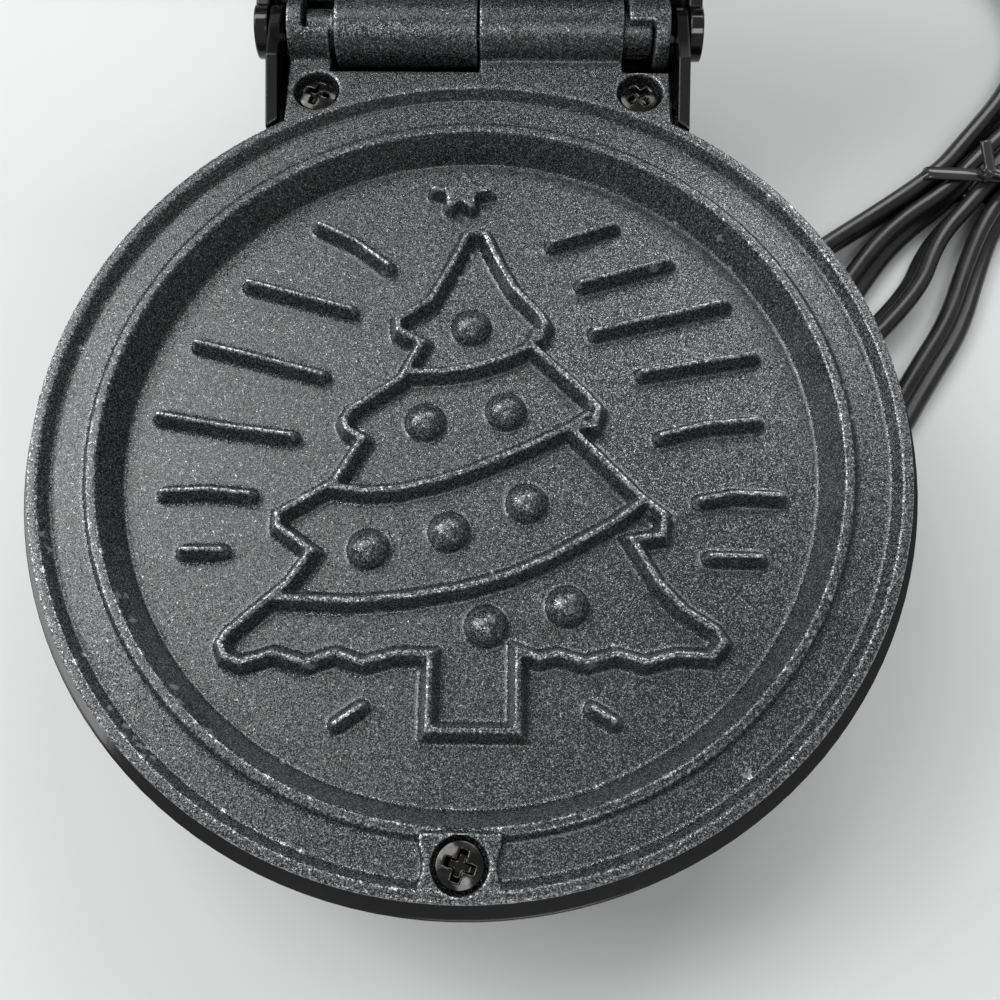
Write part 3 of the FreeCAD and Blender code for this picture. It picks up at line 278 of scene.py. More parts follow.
@dataclass(frozen=True)
class NonStickCoat:
    """Near-black baked coating full of fine metal flakes, with a painted highlight mixed with wear on its
    edges, scuffed at a few spots.
    """

    shade: float = 0.004
    light: float = 0.010
    flake: float = 0.50
    flake_size: float = 0.00011
    flake_tip: float = 0.15
    # Colour of the edges: a painted edge highlight, partly also wear.
    edge: float = 0.64
    scuffs: tuple[tuple[float, float, float], ...] = ()
    scuff_reach: float = 0.0022
    bare_metal: float = 0.40
    cloud_size: float = 0.012
    grain_size: float = 0.0005
    grain_depth: float = 0.00002
    flake_start: float = 0.60
    flake_power: float = 2.4
    flake_rough: float = 0.2
    # Size, share and ranges of the edge mask: a painted edge highlight mixed with wear.
    highlight_and_wear_size: float = 0.0004
    highlight_and_wear_share: float = 0.35
    highlight_and_wear_range: tuple[float, float] = (0.708, 0.756)
    most_highlight_and_wear: float = 0.85
    scuff_size: float = 0.0011
    scuff_range: tuple[float, float] = (0.98, 1.06)
    gloss: tuple[float, float] = (0.17, 0.24)
    cool: float = -0.06

    def build(self, name: str) -> bpy.types.Material:
        """Make the material."""
        graph = Graph(name)
        cloud = graph.noise(self.cloud_size, 4.0)
        grain = graph.noise(self.grain_size, 3.0, 0.7)
        flakes = graph.flakes(self.flake_size)
        base = graph.ramp(grain, [(0.36, grey(self.shade, self.cool)), (0.66, grey(self.light, self.cool))])
        lit = graph.sum("POWER", graph.levels(flakes, 0.0, 1.0, self.flake_start, 1.0), self.flake_power)
        colour = graph.mix(lit, base, grey(self.flake, -0.04))
        # Convex edges get a lighter, metallic colour: partly wear, partly a painted highlight along the
        # edges.
        worn = graph.sum("MULTIPLY", graph.noise(self.highlight_and_wear_size, 3.0, 0.7), self.highlight_and_wear_share)
        edge_highlight_and_wear = graph.levels(graph.sum("ADD", graph.edges(), worn), 0.0, self.most_highlight_and_wear, *self.highlight_and_wear_range)
        colour = graph.mix(edge_highlight_and_wear, colour, grey(self.edge, -0.03))
        metal = graph.sum("MAXIMUM", lit, edge_highlight_and_wear)
        dulled = graph.sum("MULTIPLY", lit, self.flake_rough)
        rough = graph.sum("ADD", graph.levels(cloud, *self.gloss), dulled)
        if self.scuffs:
            ragged = graph.noise(self.scuff_size, 4.0, 0.7)
            torn = graph.sum("ADD", graph.near(self.scuffs, self.scuff_reach), ragged)
            bare = graph.levels(torn, 0.0, 1.0, *self.scuff_range)
            colour = graph.mix(bare, colour, grey(self.bare_metal, 0.02))
            metal = graph.sum("MAXIMUM", metal, bare)
        graph.feed(colour, "Base Color")
        graph.feed(metal, "Metallic")
        graph.feed(rough, "Roughness")
        graph.put(IOR=1.6)
        graph.bump(grain, self.grain_depth, 0.35, graph.tipped(self.flake_size, self.flake_tip))
        return graph.material


@dataclass(frozen=True)
class GlossShell:
    """Glossy moulded housing with faint hairlines and dust in its gloss."""

    shade: float = 0.004
    dust: float = 0.010
    edge: float = 0.0005
    smear_size: float = 0.03
    hair_size: float = 0.0009
    hair_way: tuple[float, float, float] = (1.0, 0.06, 0.3)
    hair_depth: float = 0.000012
    gloss: tuple[float, float] = (0.07, 0.17)

    def build(self, name: str) -> bpy.types.Material:
        """Make the material."""
        graph = Graph(name)
        smear = graph.noise(self.smear_size, 5.0)
        hair = graph.noise(self.hair_size, 2.0, 0.5, graph.stretched(self.hair_way))
        colour = graph.ramp(smear, [(0.35, grey(self.shade)), (0.75, grey(self.dust))])
        graph.feed(colour, "Base Color")
        graph.feed(graph.levels(smear, *self.gloss), "Roughness")
        graph.put(IOR=1.52, Coat_Weight=0.3, Coat_Roughness=0.05)
        graph.bump(hair, self.hair_depth, 0.25, graph.rounded(self.edge))
        return graph.material


@dataclass(frozen=True)
class GrainedPlastic:
    """Matt moulded plastic or rubber with a spark-eroded grain."""

    shade: Colour = grey(0.012)
    light: Colour = grey(0.026)
    rough: float = 0.5
    grain: float = 0.0005
    cloud_size: float = 0.009
    grain_depth: float = 0.00006

    def build(self, name: str) -> bpy.types.Material:
        """Make the material."""
        graph = Graph(name)
        cloud = graph.noise(self.cloud_size, 4.0)
        grain = graph.noise(self.grain, 2.0, 0.6)
        graph.feed(graph.ramp(cloud, [(0.3, self.shade), (0.75, self.light)]), "Base Color")
        graph.feed(graph.levels(grain, self.rough - 0.08, self.rough + 0.1), "Roughness")
        graph.bump(grain, self.grain_depth, 0.4)
        return graph.material


@dataclass(frozen=True)
class WorkedMetal:
    """Bare or plated metal with drawn lines, stains, an uneven polish and painted shade in its hollows."""

    shade: Colour
    light: Colour
    smooth: float = 0.22
    worn: float = 0.42
    lines: tuple[float, float, float] = (0.08, 1.0, 1.0)
    hollow: float = 0.0014
    stain_size: float = 0.004
    line_size: float = 0.0005
    line_depth: float = 0.00001
    # Colour of the painted shade in hollows.
    painted_hollow_shade: float = 0.004

    def build(self, name: str) -> bpy.types.Material:
        """Make the material."""
        graph = Graph(name)
        stain = graph.noise(self.stain_size, 5.0, 0.65)
        drawn = graph.noise(self.line_size, 3.0, 0.6, graph.stretched(self.lines))
        colour = graph.ramp(stain, [(0.3, self.shade), (0.7, self.light)])
        # Painted shade: the colour darkens to near-black in hollows and recesses, such as screw recesses,
        # where shade falls.
        painted_hollow_shade = graph.levels(graph.open_sky(self.hollow), 1.0, 0.0, 0.25, 0.75)
        graph.feed(graph.mix(painted_hollow_shade, colour, grey(self.painted_hollow_shade)), "Base Color")
        graph.feed(graph.levels(drawn, self.smooth, self.worn), "Roughness")
        graph.put(Metallic=1.0)
        graph.bump(drawn, self.line_depth, 0.3)
        return graph.material


@dataclass(frozen=True)
class FlexSheath:
    """Soft black cord sheath with a low, slightly greasy gloss."""

    shade: float = 0.009
    light: float = 0.02
    cloud_size: float = 0.006
    skin_size: float = 0.0004
    skin_depth: float = 0.00002
    gloss: tuple[float, float] = (0.22, 0.34)

    def build(self, name: str) -> bpy.types.Material:
        """Make the material."""
        graph = Graph(name)
        cloud = graph.noise(self.cloud_size, 4.0)
        skin = graph.noise(self.skin_size, 2.0, 0.6)
        graph.feed(graph.ramp(cloud, [(0.3, grey(self.shade)), (0.75, grey(self.light))]), "Base Color")
        graph.feed(graph.levels(cloud, *self.gloss), "Roughness")
        graph.put(IOR=1.56)
        graph.bump(skin, self.skin_depth, 0.25)
        return graph.material


@dataclass(frozen=True)
class LampLens:
    """Clear red moulding over the lamp."""

    red: Colour = (0.55, 0.02, 0.012, 1.0)
    deep: Colour = (0.32, 0.008, 0.006, 1.0)
    swirl_size: float = 0.003
    gloss: tuple[float, float] = (0.08, 0.16)

    def build(self, name: str) -> bpy.types.Material:
        """Make the material."""
        graph = Graph(name)
        swirl = graph.noise(self.swirl_size, 3.0)
        graph.feed(graph.ramp(swirl, [(0.3, self.deep), (0.7, self.red)]), "Base Color")
        graph.feed(graph.levels(swirl, *self.gloss), "Roughness")
        graph.put(Transmission_Weight=0.35, IOR=1.49, Coat_Weight=0.4)
        return graph.material


@dataclass(frozen=True)
class WovenSleeve:
    """White glass-fibre sleeve of the inner wires."""

    pale: Colour = grey(0.62, 0.03)
    shade: Colour = grey(0.4, 0.05)
    weave_size: float = 0.0005
    weave_depth: float = 0.00008

    def build(self, name: str) -> bpy.types.Material:
        """Make the material."""
        graph = Graph(name)
        weave = graph.flakes(self.weave_size)
        graph.feed(graph.ramp(weave, [(0.2, self.shade), (0.8, self.pale)]), "Base Color")
        graph.put(Roughness=0.7)
        graph.bump(weave, self.weave_depth, 0.5)
        return graph.material


@dataclass(frozen=True)
class PaleTable:
    """Plain pale floor with the faintest unevenness."""

    shade: Colour = (0.71, 0.725, 0.72, 1.0)
    light: Colour = (0.77, 0.785, 0.78, 1.0)
    cloud_size: float = 0.16
    matt: tuple[float, float] = (0.55, 0.65)

    def build(self, name: str) -> bpy.types.Material:
        """Make the material."""
        graph = Graph(name)
        cloud = graph.noise(self.cloud_size, 4.0)
        graph.feed(graph.ramp(cloud, [(0.3, self.shade), (0.7, self.light)]), "Base Color")
        graph.feed(graph.levels(cloud, *self.matt), "Roughness")
        return graph.material


class Finish(Enum):
    """Finishes of the part, each made once and shared."""

    PLATE = NonStickCoat(
        scuffs=(
            (-0.0062, -0.1182, 0.0330),
            (0.0060, -0.1182, 0.0330),
            (0.0086, -0.1176, 0.0318),
        )
    )
    UPPER_PLATE = NonStickCoat()
    SHELL = GlossShell()
    BOTTOM = GrainedPlastic(grain=0.0008)
    RUBBER = GrainedPlastic(grey(0.02), grey(0.035), 0.7, 0.0007)
    SCREW = WorkedMetal(grey(0.03, 0.03), grey(0.085, 0.03), 0.10, 0.22)
    HEATER = WorkedMetal(grey(0.2, 0.08), grey(0.42, 0.03), 0.35, 0.55)
    SHEET = WorkedMetal(grey(0.5), grey(0.68), 0.25, 0.45, (0.04, 1.0, 1.0))
    CERAMIC = GrainedPlastic(grey(0.5, 0.08), grey(0.62, 0.06), 0.55, 0.0009)
    SLEEVE = WovenSleeve()
    CORD = FlexSheath()
    TIE = GlossShell(0.02, 0.05)
    BLADE = WorkedMetal(grey(0.58, 0.05), grey(0.72, 0.04), 0.2, 0.34, (1.0, 0.05, 1.0))
    LENS = LampLens()

    def material(self) -> bpy.types.Material:
        """The finish's material, made at its first use."""
        name = self.name.lower()
        found = bpy.data.materials.get("finish_" + name)
        return found or self.value.build("finish_" + name)


NODE_FINISHES = {
    "base_housing": Finish.SHELL,
    "lid_housing": Finish.SHELL,
    "lid_handle": Finish.SHELL,
    "bottom_cover": Finish.BOTTOM,
    "bottom_cover_screws": Finish.SCREW,
    "lid_handle_screws": Finish.SCREW,
    "lower_clamp_screw": Finish.SCREW,
    "upper_clamp_screw": Finish.SCREW,
    "feet": Finish.RUBBER,
    "lower_heater": Finish.HEATER,
    "upper_heater": Finish.HEATER,
    "lower_heater_clamp": Finish.SHEET,
    "upper_heater_clamp": Finish.SHEET,
    "lower_reflector": Finish.SHEET,
    "upper_reflector": Finish.SHEET,
    "thermostat": Finish.CERAMIC,
    "thermal_fuse": Finish.SHEET,
    "terminal_block": Finish.CERAMIC,
    "base_wires": Finish.SLEEVE,
    "lid_wires": Finish.SLEEVE,
    "indicator_lens": Finish.LENS,
    "indicator_lamp": Finish.CERAMIC,
    "plug_blades": Finish.BLADE,
}


def dress(piece: Piece, finish: Finish) -> None:
    """Give a piece one finish all over."""
    piece.data.materials.clear()
    piece.data.materials.append(finish.material())


def linked(name: str, mesh: bpy.types.Mesh) -> Piece:
    """New object of a mesh, in the scene."""
    piece = bpy.data.objects.new(name, mesh)
    bpy.context.scene.collection.objects.link(piece)
    return piece


def stand_for(piece: Piece, finish: Finish, *nodes: str) -> Piece:
    """Dress a piece and let it stand for CAD nodes, on their body.

    Args:
        piece: The new piece.
        finish: Its finish.
        nodes: The nodes that it hides, all of one body.

    Returns:
        The same piece.
    """
    source = frame["nodes"][nodes[0]]
    dress(piece, finish)
    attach(piece, source["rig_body"])
    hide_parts(*nodes)
    log.info("%s stands for %s", piece.name, ", ".join(nodes))
    return piece


def softened(node: str, name: str, voxel: float, passes: int, keep: float = 1.0) -> Piece:
    """Copy of a node with its sharp edges rounded over, as casting and coating leave them.

    Args:
        node: CAD node to copy.
        name: Name of the new piece.
        voxel: Cell of the remesh, in metres.
        passes: Rounds of smoothing.
        keep: Share of the faces that is kept, mostly on curves.

    Returns:
        The new piece, not yet dressed.
    """
    piece = linked(name, frame["nodes"][node].data.copy())
    remesh = piece.modifiers.new("cast", "REMESH")
    remesh.mode = "VOXEL"
    remesh.voxel_size = voxel
    remesh.use_smooth_shade = True
    smooth = piece.modifiers.new("rounded", "SMOOTH")
    smooth.factor = SMOOTHING
    smooth.iterations = passes
    if keep < 1.0:
        thinned = piece.modifiers.new("thinned", "DECIMATE")
        thinned.ratio = keep
    graph = bpy.context.evaluated_depsgraph_get()
    made = bpy.data.meshes.new_from_object(piece.evaluated_get(graph))
    piece.modifiers.clear()
    piece.data = made
    made.name = name
    return piece


def swept(name: str, rings: Sequence[Sequence[Vector]], closed: bool = False) -> Piece:
    """Smooth skin over rings of equal counts of points.

    Args:
        name: Name of the new piece.
        rings: Points of each ring, in order along the piece.
        closed: True where the last ring meets the first.

    Returns:
        The new piece, capped at both ends unless it is closed.
    """
    shape = bmesh.new()
    loops = [[shape.verts.new(point) for point in ring] for ring in rings]
    pairs = list(zip(loops, loops[1:]))
    if closed:
        pairs.append((loops[-1], loops[0]))
    count = len(loops[0])
    for before, after in pairs:
        for i in range(count):
            j = (i + 1) % count
            shape.faces.new((before[i], before[j], after[j], after[i]))
    if not closed:
        shape.faces.new(loops[0][::-1])
        shape.faces.new(loops[-1])
    bmesh.ops.recalc_face_normals(shape, faces=shape.faces)
    for face in shape.faces:
        face.smooth = len(face.verts) == 4
    mesh = bpy.data.meshes.new(name)
    shape.to_mesh(mesh)
    shape.free()
    return linked(name, mesh)


def smooth_line(points: Sequence[Sequence[float]], fineness: int) -> list[Vector]:
    """Points along one NURBS curve that follows a route.

    Args:
        points: Control points of the route, in metres.
        fineness: Steps of the curve for each control point.

    Returns:
        The curve's own points, in order.
    """
    curve = bpy.data.curves.new("route", "CURVE")
    curve.dimensions = "3D"
    curve.resolution_u = fineness
    spline = curve.splines.new("NURBS")
    spline.points.add(len(points) - 1)
    for point, place in zip(spline.points, points):
        point.co = (*place, 1.0)
    spline.order_u = CURVE_ORDER
    spline.use_endpoint_u = True
    holder = bpy.data.objects.new("route", curve)
    mesh = bpy.data.meshes.new_from_object(holder)
    line = [vertex.co.copy() for vertex in mesh.vertices]
    bpy.data.objects.remove(holder)
    bpy.data.curves.remove(curve)
    bpy.data.meshes.remove(mesh)
    return line


def along(line: Sequence[Vector], index: int) -> Vector:
    """Direction of a line at one of its points."""
    before = line[max(index - 1, 0)]
    after = line[min(index + 1, len(line) - 1)]
    return (after - before).normalized()


@dataclass
class BakingPlates:
    """Both cast plates and the screws that hold them."""

    lower_cell: float = 0.30 * MM
    upper_cell: float = 0.40 * MM
    screw_cell: float = 0.13 * MM
    plate_passes: int = 2
    screw_passes: int = 2
    plate_share: float = 0.4

    def build(self) -> None:
        """Make the cast plates and their screws."""
        passes, share = self.plate_passes, self.plate_share
        lower = softened("lower_plate", "lower_plate_casting", self.lower_cell, passes, share)
        stand_for(lower, Finish.PLATE, "lower_plate")
        upper = softened("upper_plate", "upper_plate_casting", self.upper_cell, passes, share)
        stand_for(upper, Finish.UPPER_PLATE, "upper_plate")
        for level in ("lower", "upper"):
            node = level + "_plate_screws"
            screws = softened(node, level + "_plate_screw_heads", self.screw_cell, self.screw_passes)
            stand_for(screws, Finish.SCREW, node)


@dataclass
class Shells:
    """Housings, covers and inner pieces whose CAD shape is right, with their finishes."""

    finishes: dict[str, Finish] = field(default_factory=lambda: dict(NODE_FINISHES))

    def build(self) -> None:
        """Dress every carried-over node."""
        for node, finish in self.finishes.items():
            dress(frame["nodes"][node], finish)
            log.info("%s dressed as %s", node, finish.name.lower())


@dataclass
class CordSet:
    """Flat twin cord from the strain relief to the plug, folded into a hank under a twisted tie.

    Places are in millimetres from the plate's middle, seen from above; plate_y is that middle in the part's
    frame. Heights are above the table, and leans are in degrees from upright.
    """

    width: float = 6.4
    thickness: float = 3.2
    web: float = 1.7
    exit_height: float = 3.8
    rest_gap: float = 0.3
    least_step: float = 0.3
    lead_lean: float = -40.0
    fold_leans: tuple[tuple[float, float], ...] = ((14.0, 58.0), (-40.0, -40.0), (36.0, 72.0))
    plug_lean: float = -30.0
    plate_y: float = -55.596
    lobe_steps: int = 10
    fineness: int = 10
    lead: tuple[tuple[float, float], ...] = (
        (14.0, 108.0), (14.3, 119.0), (21.0, 132.0), (34.5, 141.5), (52.0, 145.5), (71.0, 143.5),
        (91.0, 136.5), (107.0, 121.5), (111.0, 104.0), (102.5, 86.0),
    )
    fold_centres: tuple[tuple[float, float], ...] = ((58.2, 39.7), (121.0, 88.0), (66.5, 22.5))
    fold_headings: tuple[float, ...] = (222.0, 38.0, 240.0)
    fold_radius: float = 8.2
    plug_end: tuple[tuple[float, float], ...] = ((113.5, 72.8), (126.0, 71.0), (134.0, 61.0), (136.0, 48.5))
    tie_centre: tuple[float, float] = (92.4, 65.9)
    tie_heading: float = 50.0
    tie_run: float = 5.0
    tie_leans: tuple[float, ...] = (0.0, 15.0, 5.0, 45.0)
    tie_slack: float = 1.0
    outer_gap: float = 0.9
    strands: int = 4
    pitch: float = 4.1
    strand_ways: tuple[tuple[tuple[float, float, float], ...], ...] = (
        (),
        ((76.5, 55.0, 40.0), (68.5, 45.0, 52.0)),
        ((83.0, 52.5, 15.0), (78.0, 41.0, 28.0)),
        ((90.0, 47.5, 60.0), (85.5, 36.0, 66.0), (78.0, 25.0, 70.0)),
    )
    length: float = 569.0
    plug_cell: float = 0.4
    plug_passes: int = 6

    def at_tie(self, aside: float, ahead: float) -> tuple[float, float]:
        """A place by the tie, to the left of its middle and ahead of it."""
        way = math.radians(self.tie_heading)
        return (
            self.tie_centre[0] - aside * math.sin(way) + ahead * math.cos(way),
            self.tie_centre[1] + aside * math.cos(way) + ahead * math.sin(way),
        )

    def strand(self, index: int) -> list[tuple[float, float, float]]:
        """One strand from beyond the tie to the plate: places from above, each with its lean in degrees."""
        aside = ((self.strands - 1) / 2 - index) * self.pitch
        if index == self.strands - 1:
            aside -= self.outer_gap
        lean = self.tie_leans[index]
        through = [(*self.at_tie(aside, ahead), lean) for ahead in (self.tie_run, -self.tie_run)]
        return through + list(self.strand_ways[index])

    def fold(self, index: int) -> list[tuple[float, float]]:
        """Two corner points of a half turn of the hank, the left one first."""
        way = math.radians(self.fold_headings[index])
        ahead = (self.fold_radius * math.cos(way), self.fold_radius * math.sin(way))
        left = (-ahead[1], ahead[0])
        centre = self.fold_centres[index]
        tip = (centre[0] + ahead[0], centre[1] + ahead[1])
        return [(tip[0] + left[0], tip[1] + left[1]), (tip[0] - left[0], tip[1] - left[1])]

    def lying(self, place: tuple[float, float], lean: float) -> tuple[float, float, float, float]:
        """Control point of a stretch that lies on the table, as high as its lean needs."""
        half = self.thickness / 2 * (1 + math.cos(math.radians(lean)))
        return (*place, half + self.rest_gap, lean)

    def route(self) -> list[tuple[float, float, float, float]]:
        """Control points of the whole cord, each with its height and its lean in degrees."""
        spots = [(*self.lead[0], self.exit_height, 0.0)]
        spots += [self.lying(place, self.lead_lean) for place in self.lead[1:]]
        for i in range(self.strands):
            strand = self.strand(i) if i % 2 == 0 else self.strand(i)[::-1]
            spots += [self.lying((x, y), lean) for x, y, lean in strand]
            if i < self.strands - 1:
                corners = self.fold(i)[::-1] if i % 2 == 0 else self.fold(i)
                spots += [self.lying(place, lean) for place, lean in zip(corners, self.fold_leans[i])]
        spots += [self.lying(place, self.plug_lean) for place in self.plug_end[:-1]]
        spots.append((*self.plug_end[-1], self.exit_height, 0.0))
        return spots

    def line(self) -> tuple[list[Vector], list[float]]:
        """Points along the cord in metres, and the lean in radians at each."""
        spots = self.route()
        places = [(x * MM, (y + self.plate_y) * MM, z * MM) for x, y, z, _ in spots]
        points = smooth_line(places, self.fineness)
        leans = smooth_line([(math.radians(spot[3]), i, 0.0) for i, spot in enumerate(spots)], self.fineness)
        kept = [0]
        for i in range(1, len(points)):
            if (points[i] - points[kept[-1]]).length > self.least_step * MM:
                kept.append(i)
        return [points[i] for i in kept], [leans[i].x for i in kept]

    def section(self) -> list[tuple[float, float]]:
        """Outline of two round cores joined by a web, as (aside, up) in metres."""
        radius = self.thickness / 2
        start = math.asin(self.web / 2 / radius) - math.pi / 2
        sweep = math.pi - 2 * start
        upper = []
        for i in range(self.lobe_steps + 1):
            angle = start + sweep * i / self.lobe_steps
            upper.append((radius * math.cos(angle) * MM, (radius + radius * math.sin(angle)) * MM))
        return upper + [(-aside, -up) for aside, up in upper]

    def build_cord(self) -> Piece:
        line, leans = self.line()
        rings = []
        for i, (point, roll) in enumerate(zip(line, leans)):
            way = along(line, i)
            side = Vector((way.y, -way.x, 0.0)).normalized()
            up = side.cross(way).normalized()
            out = side * math.cos(roll) + up * math.sin(roll)
            rise_way = up * math.cos(roll) - side * math.sin(roll)
            rings.append([point + out * aside + rise_way * rise for aside, rise in self.section()])
        cord = stand_for(swept("flat_cord", rings), Finish.CORD, "power_cord_lead", "power_cord_hank")
        gland = self.build_gland()
        tie = self.build_tie()
        plug = self.build_plug()
        log.info("flat cord leaves %s", gland.name)
        return cord

    def build_gland(self) -> Piece:
        """Ribbed boot that bends down from the housing to the table."""
        boot = StrainReliefBoot(end_y=self.lead[0][1] + self.plate_y, end_height=self.exit_height)
        return boot.build()

    def build_tie(self) -> Piece:
        """Twisted tie round the four strands."""
        half = (self.strands - 1) / 2 * self.pitch + self.thickness / 2 + self.tie_slack
        middle = self.at_tie(-self.tie_slack, 0.0)
        centre = Vector((middle[0], middle[1] + self.plate_y, 0.0)) * MM
        place = Matrix.Translation(centre) @ Matrix.Rotation(math.radians(self.tie_heading), 4, "Z")
        top = self.lying(self.tie_centre, 0.0)[2] + self.width / 2
        return TwistTie(half_span=half, top=top).build(place)

    def build_plug(self) -> Piece:
        """Moulded plug body with soft edges."""
        plug = softened("plug_body", "moulded_plug", self.plug_cell * MM, self.plug_passes)
        return stand_for(plug, Finish.CORD, "plug_body")


@dataclass
class StrainReliefBoot:
    """Tapered flexible boot with grooves, from inside the housing to the cord. Sizes in millimetres."""

    end_y: float
    end_height: float
    x: float = 14.0
    start_height: float = 9.5
    start_y: float = 32.2
    neck_length: float = 9.5
    neck_radius: float = 4.0
    step_length: float = 0.1
    start_radius: float = 4.6
    end_radius: float = 3.7
    grooves: int = 5
    groove_depth: float = 0.6
    steps: int = 60
    sides: int = 32

    def ring(self, y: float, height: float, radius: float) -> list[Vector]:
        """Circle square to the way out of the housing."""
        points = []
        for i in range(self.sides):
            angle = 2 * math.pi * i / self.sides
            aside, rise = radius * math.cos(angle), radius * math.sin(angle)
            points.append(Vector((self.x + aside, y, height + rise)) * MM)
        return points

    def build(self) -> Piece:
        """Make the boot with its neck."""
        rings = [self.ring(self.start_y - self.neck_length, self.start_height, self.neck_radius)]
        rings.append(self.ring(self.start_y - self.step_length, self.start_height, self.neck_radius))
        for i in range(self.steps + 1):
            share = i / self.steps
            swing = math.cos(2 * math.pi * self.grooves * share)
            cut = self.groove_depth * max(0.0, -swing) * math.sin(math.pi * share) ** 0.5
            radius = self.start_radius + (self.end_radius - self.start_radius) * share - cut
            height = self.start_height + (self.end_height - self.start_height) * share
            rings.append(self.ring(self.start_y + (self.end_y - self.start_y) * share, height, radius))
        return stand_for(swept("strain_relief_boot", rings), Finish.CORD, "strain_relief")


@dataclass
class TwistTie:
    """Flat coated tie wound slantwise round the strands, its ends twisted on top. Sizes in millimetres."""

    half_span: float
    top: float
    width: float = 2.6
    film: float = 0.35
    core: float = 0.45
    wire_half: float = 0.6
    edge_half: float = 0.12
    corner: float = 1.4
    corner_steps: int = 6
    slack: float = 0.35
    low: float = 0.6
    slant: float = -0.76
    knot_radius: float = 0.75
    knot_rise: float = 1.8
    knot_steps: int = 4
    end_width: float = 2.0
    end_length: float = 6.5
    end_shares: tuple[float, ...] = (0.3, 0.65, 1.0)
    end_ways: tuple[tuple[float, float, float], ...] = ((0.64, 0.77, 0.35), (0.3, -0.95, 0.05))
    fineness: int = 8

    def loop(self) -> list[tuple[float, float, float, float]]:
        """Rounded rectangle round the strands, as (across, up) places with their outward ways."""
        points = []
        reach = self.half_span + self.slack - self.corner
        middle = (self.top + self.slack + self.low) / 2
        rise = (self.top + self.slack - self.low) / 2 - self.corner
        for quarter in range(4):
            sign_y = 1 if quarter in (0, 3) else -1
            sign_z = 1 if quarter in (0, 1) else -1
            for step in range(self.corner_steps + 1):
                angle = math.radians(90 * quarter + 90 / self.corner_steps * step)
                out = (math.cos(angle), math.sin(angle))
                points.append((sign_y * reach + self.corner * out[0],
                               middle + sign_z * rise + self.corner * out[1], *out))
        return points

    def band(self) -> list[list[Vector]]:
        """Rings of the flat band, thicker in the middle where its wire runs."""
        rings = []
        half = self.width / 2
        thin = self.film / 2
        wire, edge = self.wire_half, self.edge_half
        profile = [(-half, -edge), (-half, edge), (-wire, thin), (0.0, self.core),
                   (wire, thin), (half, edge), (half, -edge), (0.0, -thin)]
        for across, up, out_y, out_z in self.loop():
            middle = Vector((self.slant * across, across, up))
            out = Vector((0.0, out_y, out_z))
            aside = Vector((1.0, -self.slant * abs(out_z), 0.0)).normalized()
            rings.append([(middle + aside * x + out * r) * MM for x, r in profile])
        return rings

    def end(self, side: int) -> list[list[Vector]]:
        """Rings of one end: a turn round the other end, then straight out."""
        knot = Vector((0.0, 0.0, self.top + self.slack))
        way = Vector(self.end_ways[side]).normalized()
        places = []
        for i in range(self.knot_steps):
            angle = math.pi * (side + i / 2)
            out = Vector((math.cos(angle), math.sin(angle), 0.0)) * self.knot_radius
            places.append(knot + out + Vector((0.0, 0.0, self.knot_rise * i / self.knot_steps)))
        places += [places[-1] + way * (self.end_length * share) for share in self.end_shares]
        line = smooth_line(places, self.fineness)
        half = self.end_width / 2
        thin = self.film / 2
        profile = [(-half, -thin), (0.0, -self.core), (half, -thin),
                   (half, thin), (0.0, self.core), (-half, thin)]
        rings = []
        for i, point in enumerate(line[:-1]):
            ahead = along(line, i)
            flat = ahead.cross(Vector((0.0, 0.0, 1.0))).normalized()
            rise = flat.cross(ahead)
            rings.append([(point + flat * a + rise * b) * MM for a, b in profile])
        return rings

    def build(self, place: Matrix) -> Piece:
        """Make the tie.

        Args:
            place: Matrix from the tie's own frame to the part's.

        Returns:
            The tie, standing for its CAD node.
        """
        band = swept("cord_tie_band", self.band(), closed=True)
        ends = [swept("tie_end", self.end(side)) for side in range(len(self.end_ways))]
        shape = bmesh.new()
        for part in [band] + ends:
            shape.from_mesh(part.data)
        for part in ends:
            bpy.data.objects.remove(part)
        bmesh.ops.transform(shape, matrix=place, verts=shape.verts)
        shape.to_mesh(band.data)
        shape.free()
        return stand_for(band, Finish.TIE, "cord_tie")


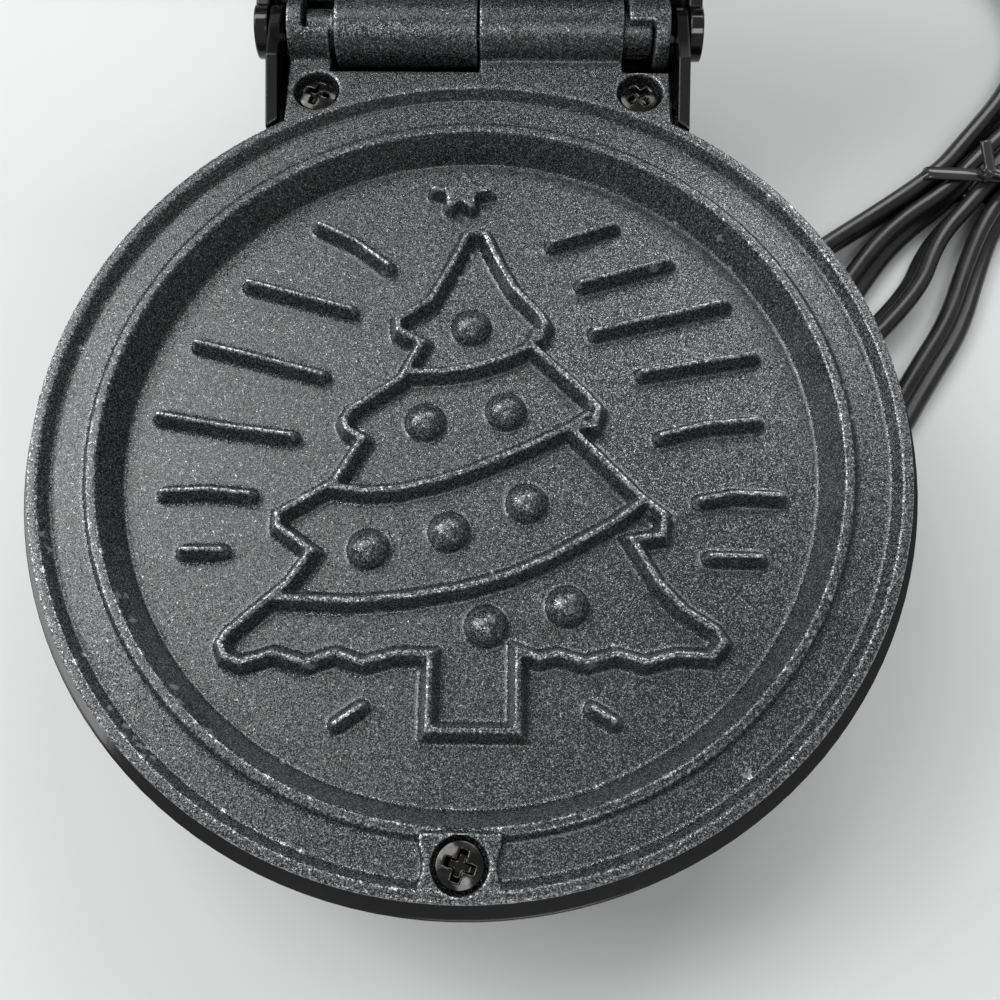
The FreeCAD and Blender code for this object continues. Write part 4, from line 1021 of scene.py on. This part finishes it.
@dataclass
class Studio:
    """Floor, lights and the photograph's viewpoint. Places are in metres."""

    floor_half: float = 2.0
    world_level: float = 0.30
    key_place: tuple[float, float, float] = (-1.3, 0.3, 1.05)
    key_power: float = 14.5
    key_size: float = 1.0
    back_place: tuple[float, float, float] = (0.55, 1.25, 1.2)
    back_power: float = 12.0
    back_size: float = 1.0
    sheen_place: tuple[float, float, float] = (-0.66, 0.56, 1.4)
    sheen_power: float = 7.5
    sheen_size: float = 0.8
    top_place: tuple[float, float, float] = (0.1, -0.75, 1.4)
    top_power: float = 3.6
    top_size: float = 0.5
    target: tuple[float, float, float] = (0.0, -0.04, 0.03)
    eye: tuple[float, float, float] = (0.005890, -0.118213, 0.179035)
    right: tuple[float, float, float] = (0.99991, 0.01283, -0.00511)
    up: tuple[float, float, float] = (-0.0103, 0.93926, 0.34306)
    lens: float = 39.73
    sensor: float = 36.0
    clip_start: float = 0.005

    def build(self) -> None:
        """Set the camera, the lights and the floor."""
        self.set_camera()
        self.set_floor()
        self.set_world()
        self.add_light("key", self.key_place, self.key_power, self.key_size)
        self.add_light("back", self.back_place, self.back_power, self.back_size)
        self.add_light("sheen", self.sheen_place, self.sheen_power, self.sheen_size)
        self.add_light("top", self.top_place, self.top_power, self.top_size)
        bpy.context.scene.view_settings.view_transform = "Standard"

    def set_camera(self) -> None:
        """Camera at the photograph's viewing angle."""
        camera = bpy.data.cameras.new("photo_view")
        camera.lens = self.lens
        camera.sensor_width = self.sensor
        camera.clip_start = self.clip_start
        holder = bpy.data.objects.new("photo_view", camera)
        bpy.context.scene.collection.objects.link(holder)
        right = Vector(self.right).normalized()
        back = right.cross(Vector(self.up)).normalized()
        up = back.cross(right)
        turn = Matrix((right, up, back)).transposed().to_4x4()
        holder.matrix_world = Matrix.Translation(self.eye) @ turn
        bpy.context.scene.camera = holder

    def set_floor(self) -> None:
        """Plain pale floor under the part."""
        half = self.floor_half
        mesh = bpy.data.meshes.new("floor")
        corners = [(-half, -half, 0.0), (half, -half, 0.0), (half, half, 0.0), (-half, half, 0.0)]
        mesh.from_pydata(corners, [], [(0, 1, 2, 3)])
        floor = linked("floor", mesh)
        floor.data.materials.append(PaleTable().build("pale_table"))

    def set_world(self) -> None:
        """Even studio light from all round."""
        world = bpy.data.worlds.new("studio")
        bpy.context.scene.world = world
        world.use_nodes = True
        background = world.node_tree.nodes["Background"]
        background.inputs["Color"].default_value = (1.0, 1.0, 1.0, 1.0)
        background.inputs["Strength"].default_value = self.world_level

    def add_light(self, name: str, place: Sequence[float], power: float, size: float) -> None:
        """Square soft light that looks at the part."""
        light = bpy.data.lights.new(name, "AREA")
        light.energy = power
        light.size = size
        holder = bpy.data.objects.new(name, light)
        bpy.context.scene.collection.objects.link(holder)
        holder.location = place
        look = Vector(self.target) - Vector(place)
        holder.rotation_euler = look.to_track_quat("-Z", "Y").to_euler()


def main() -> None:
    """Build the scene, piece by piece."""
    logging.basicConfig(level=logging.INFO, format="%(name)s: %(message)s")
    steps: list[Callable[[], object]] = [
        Studio().build,
        CordSet().build_cord,
        BakingPlates().build,
        Shells().build,
    ]
    for step in steps:
        step()


if __name__ == "__main__":
    main()
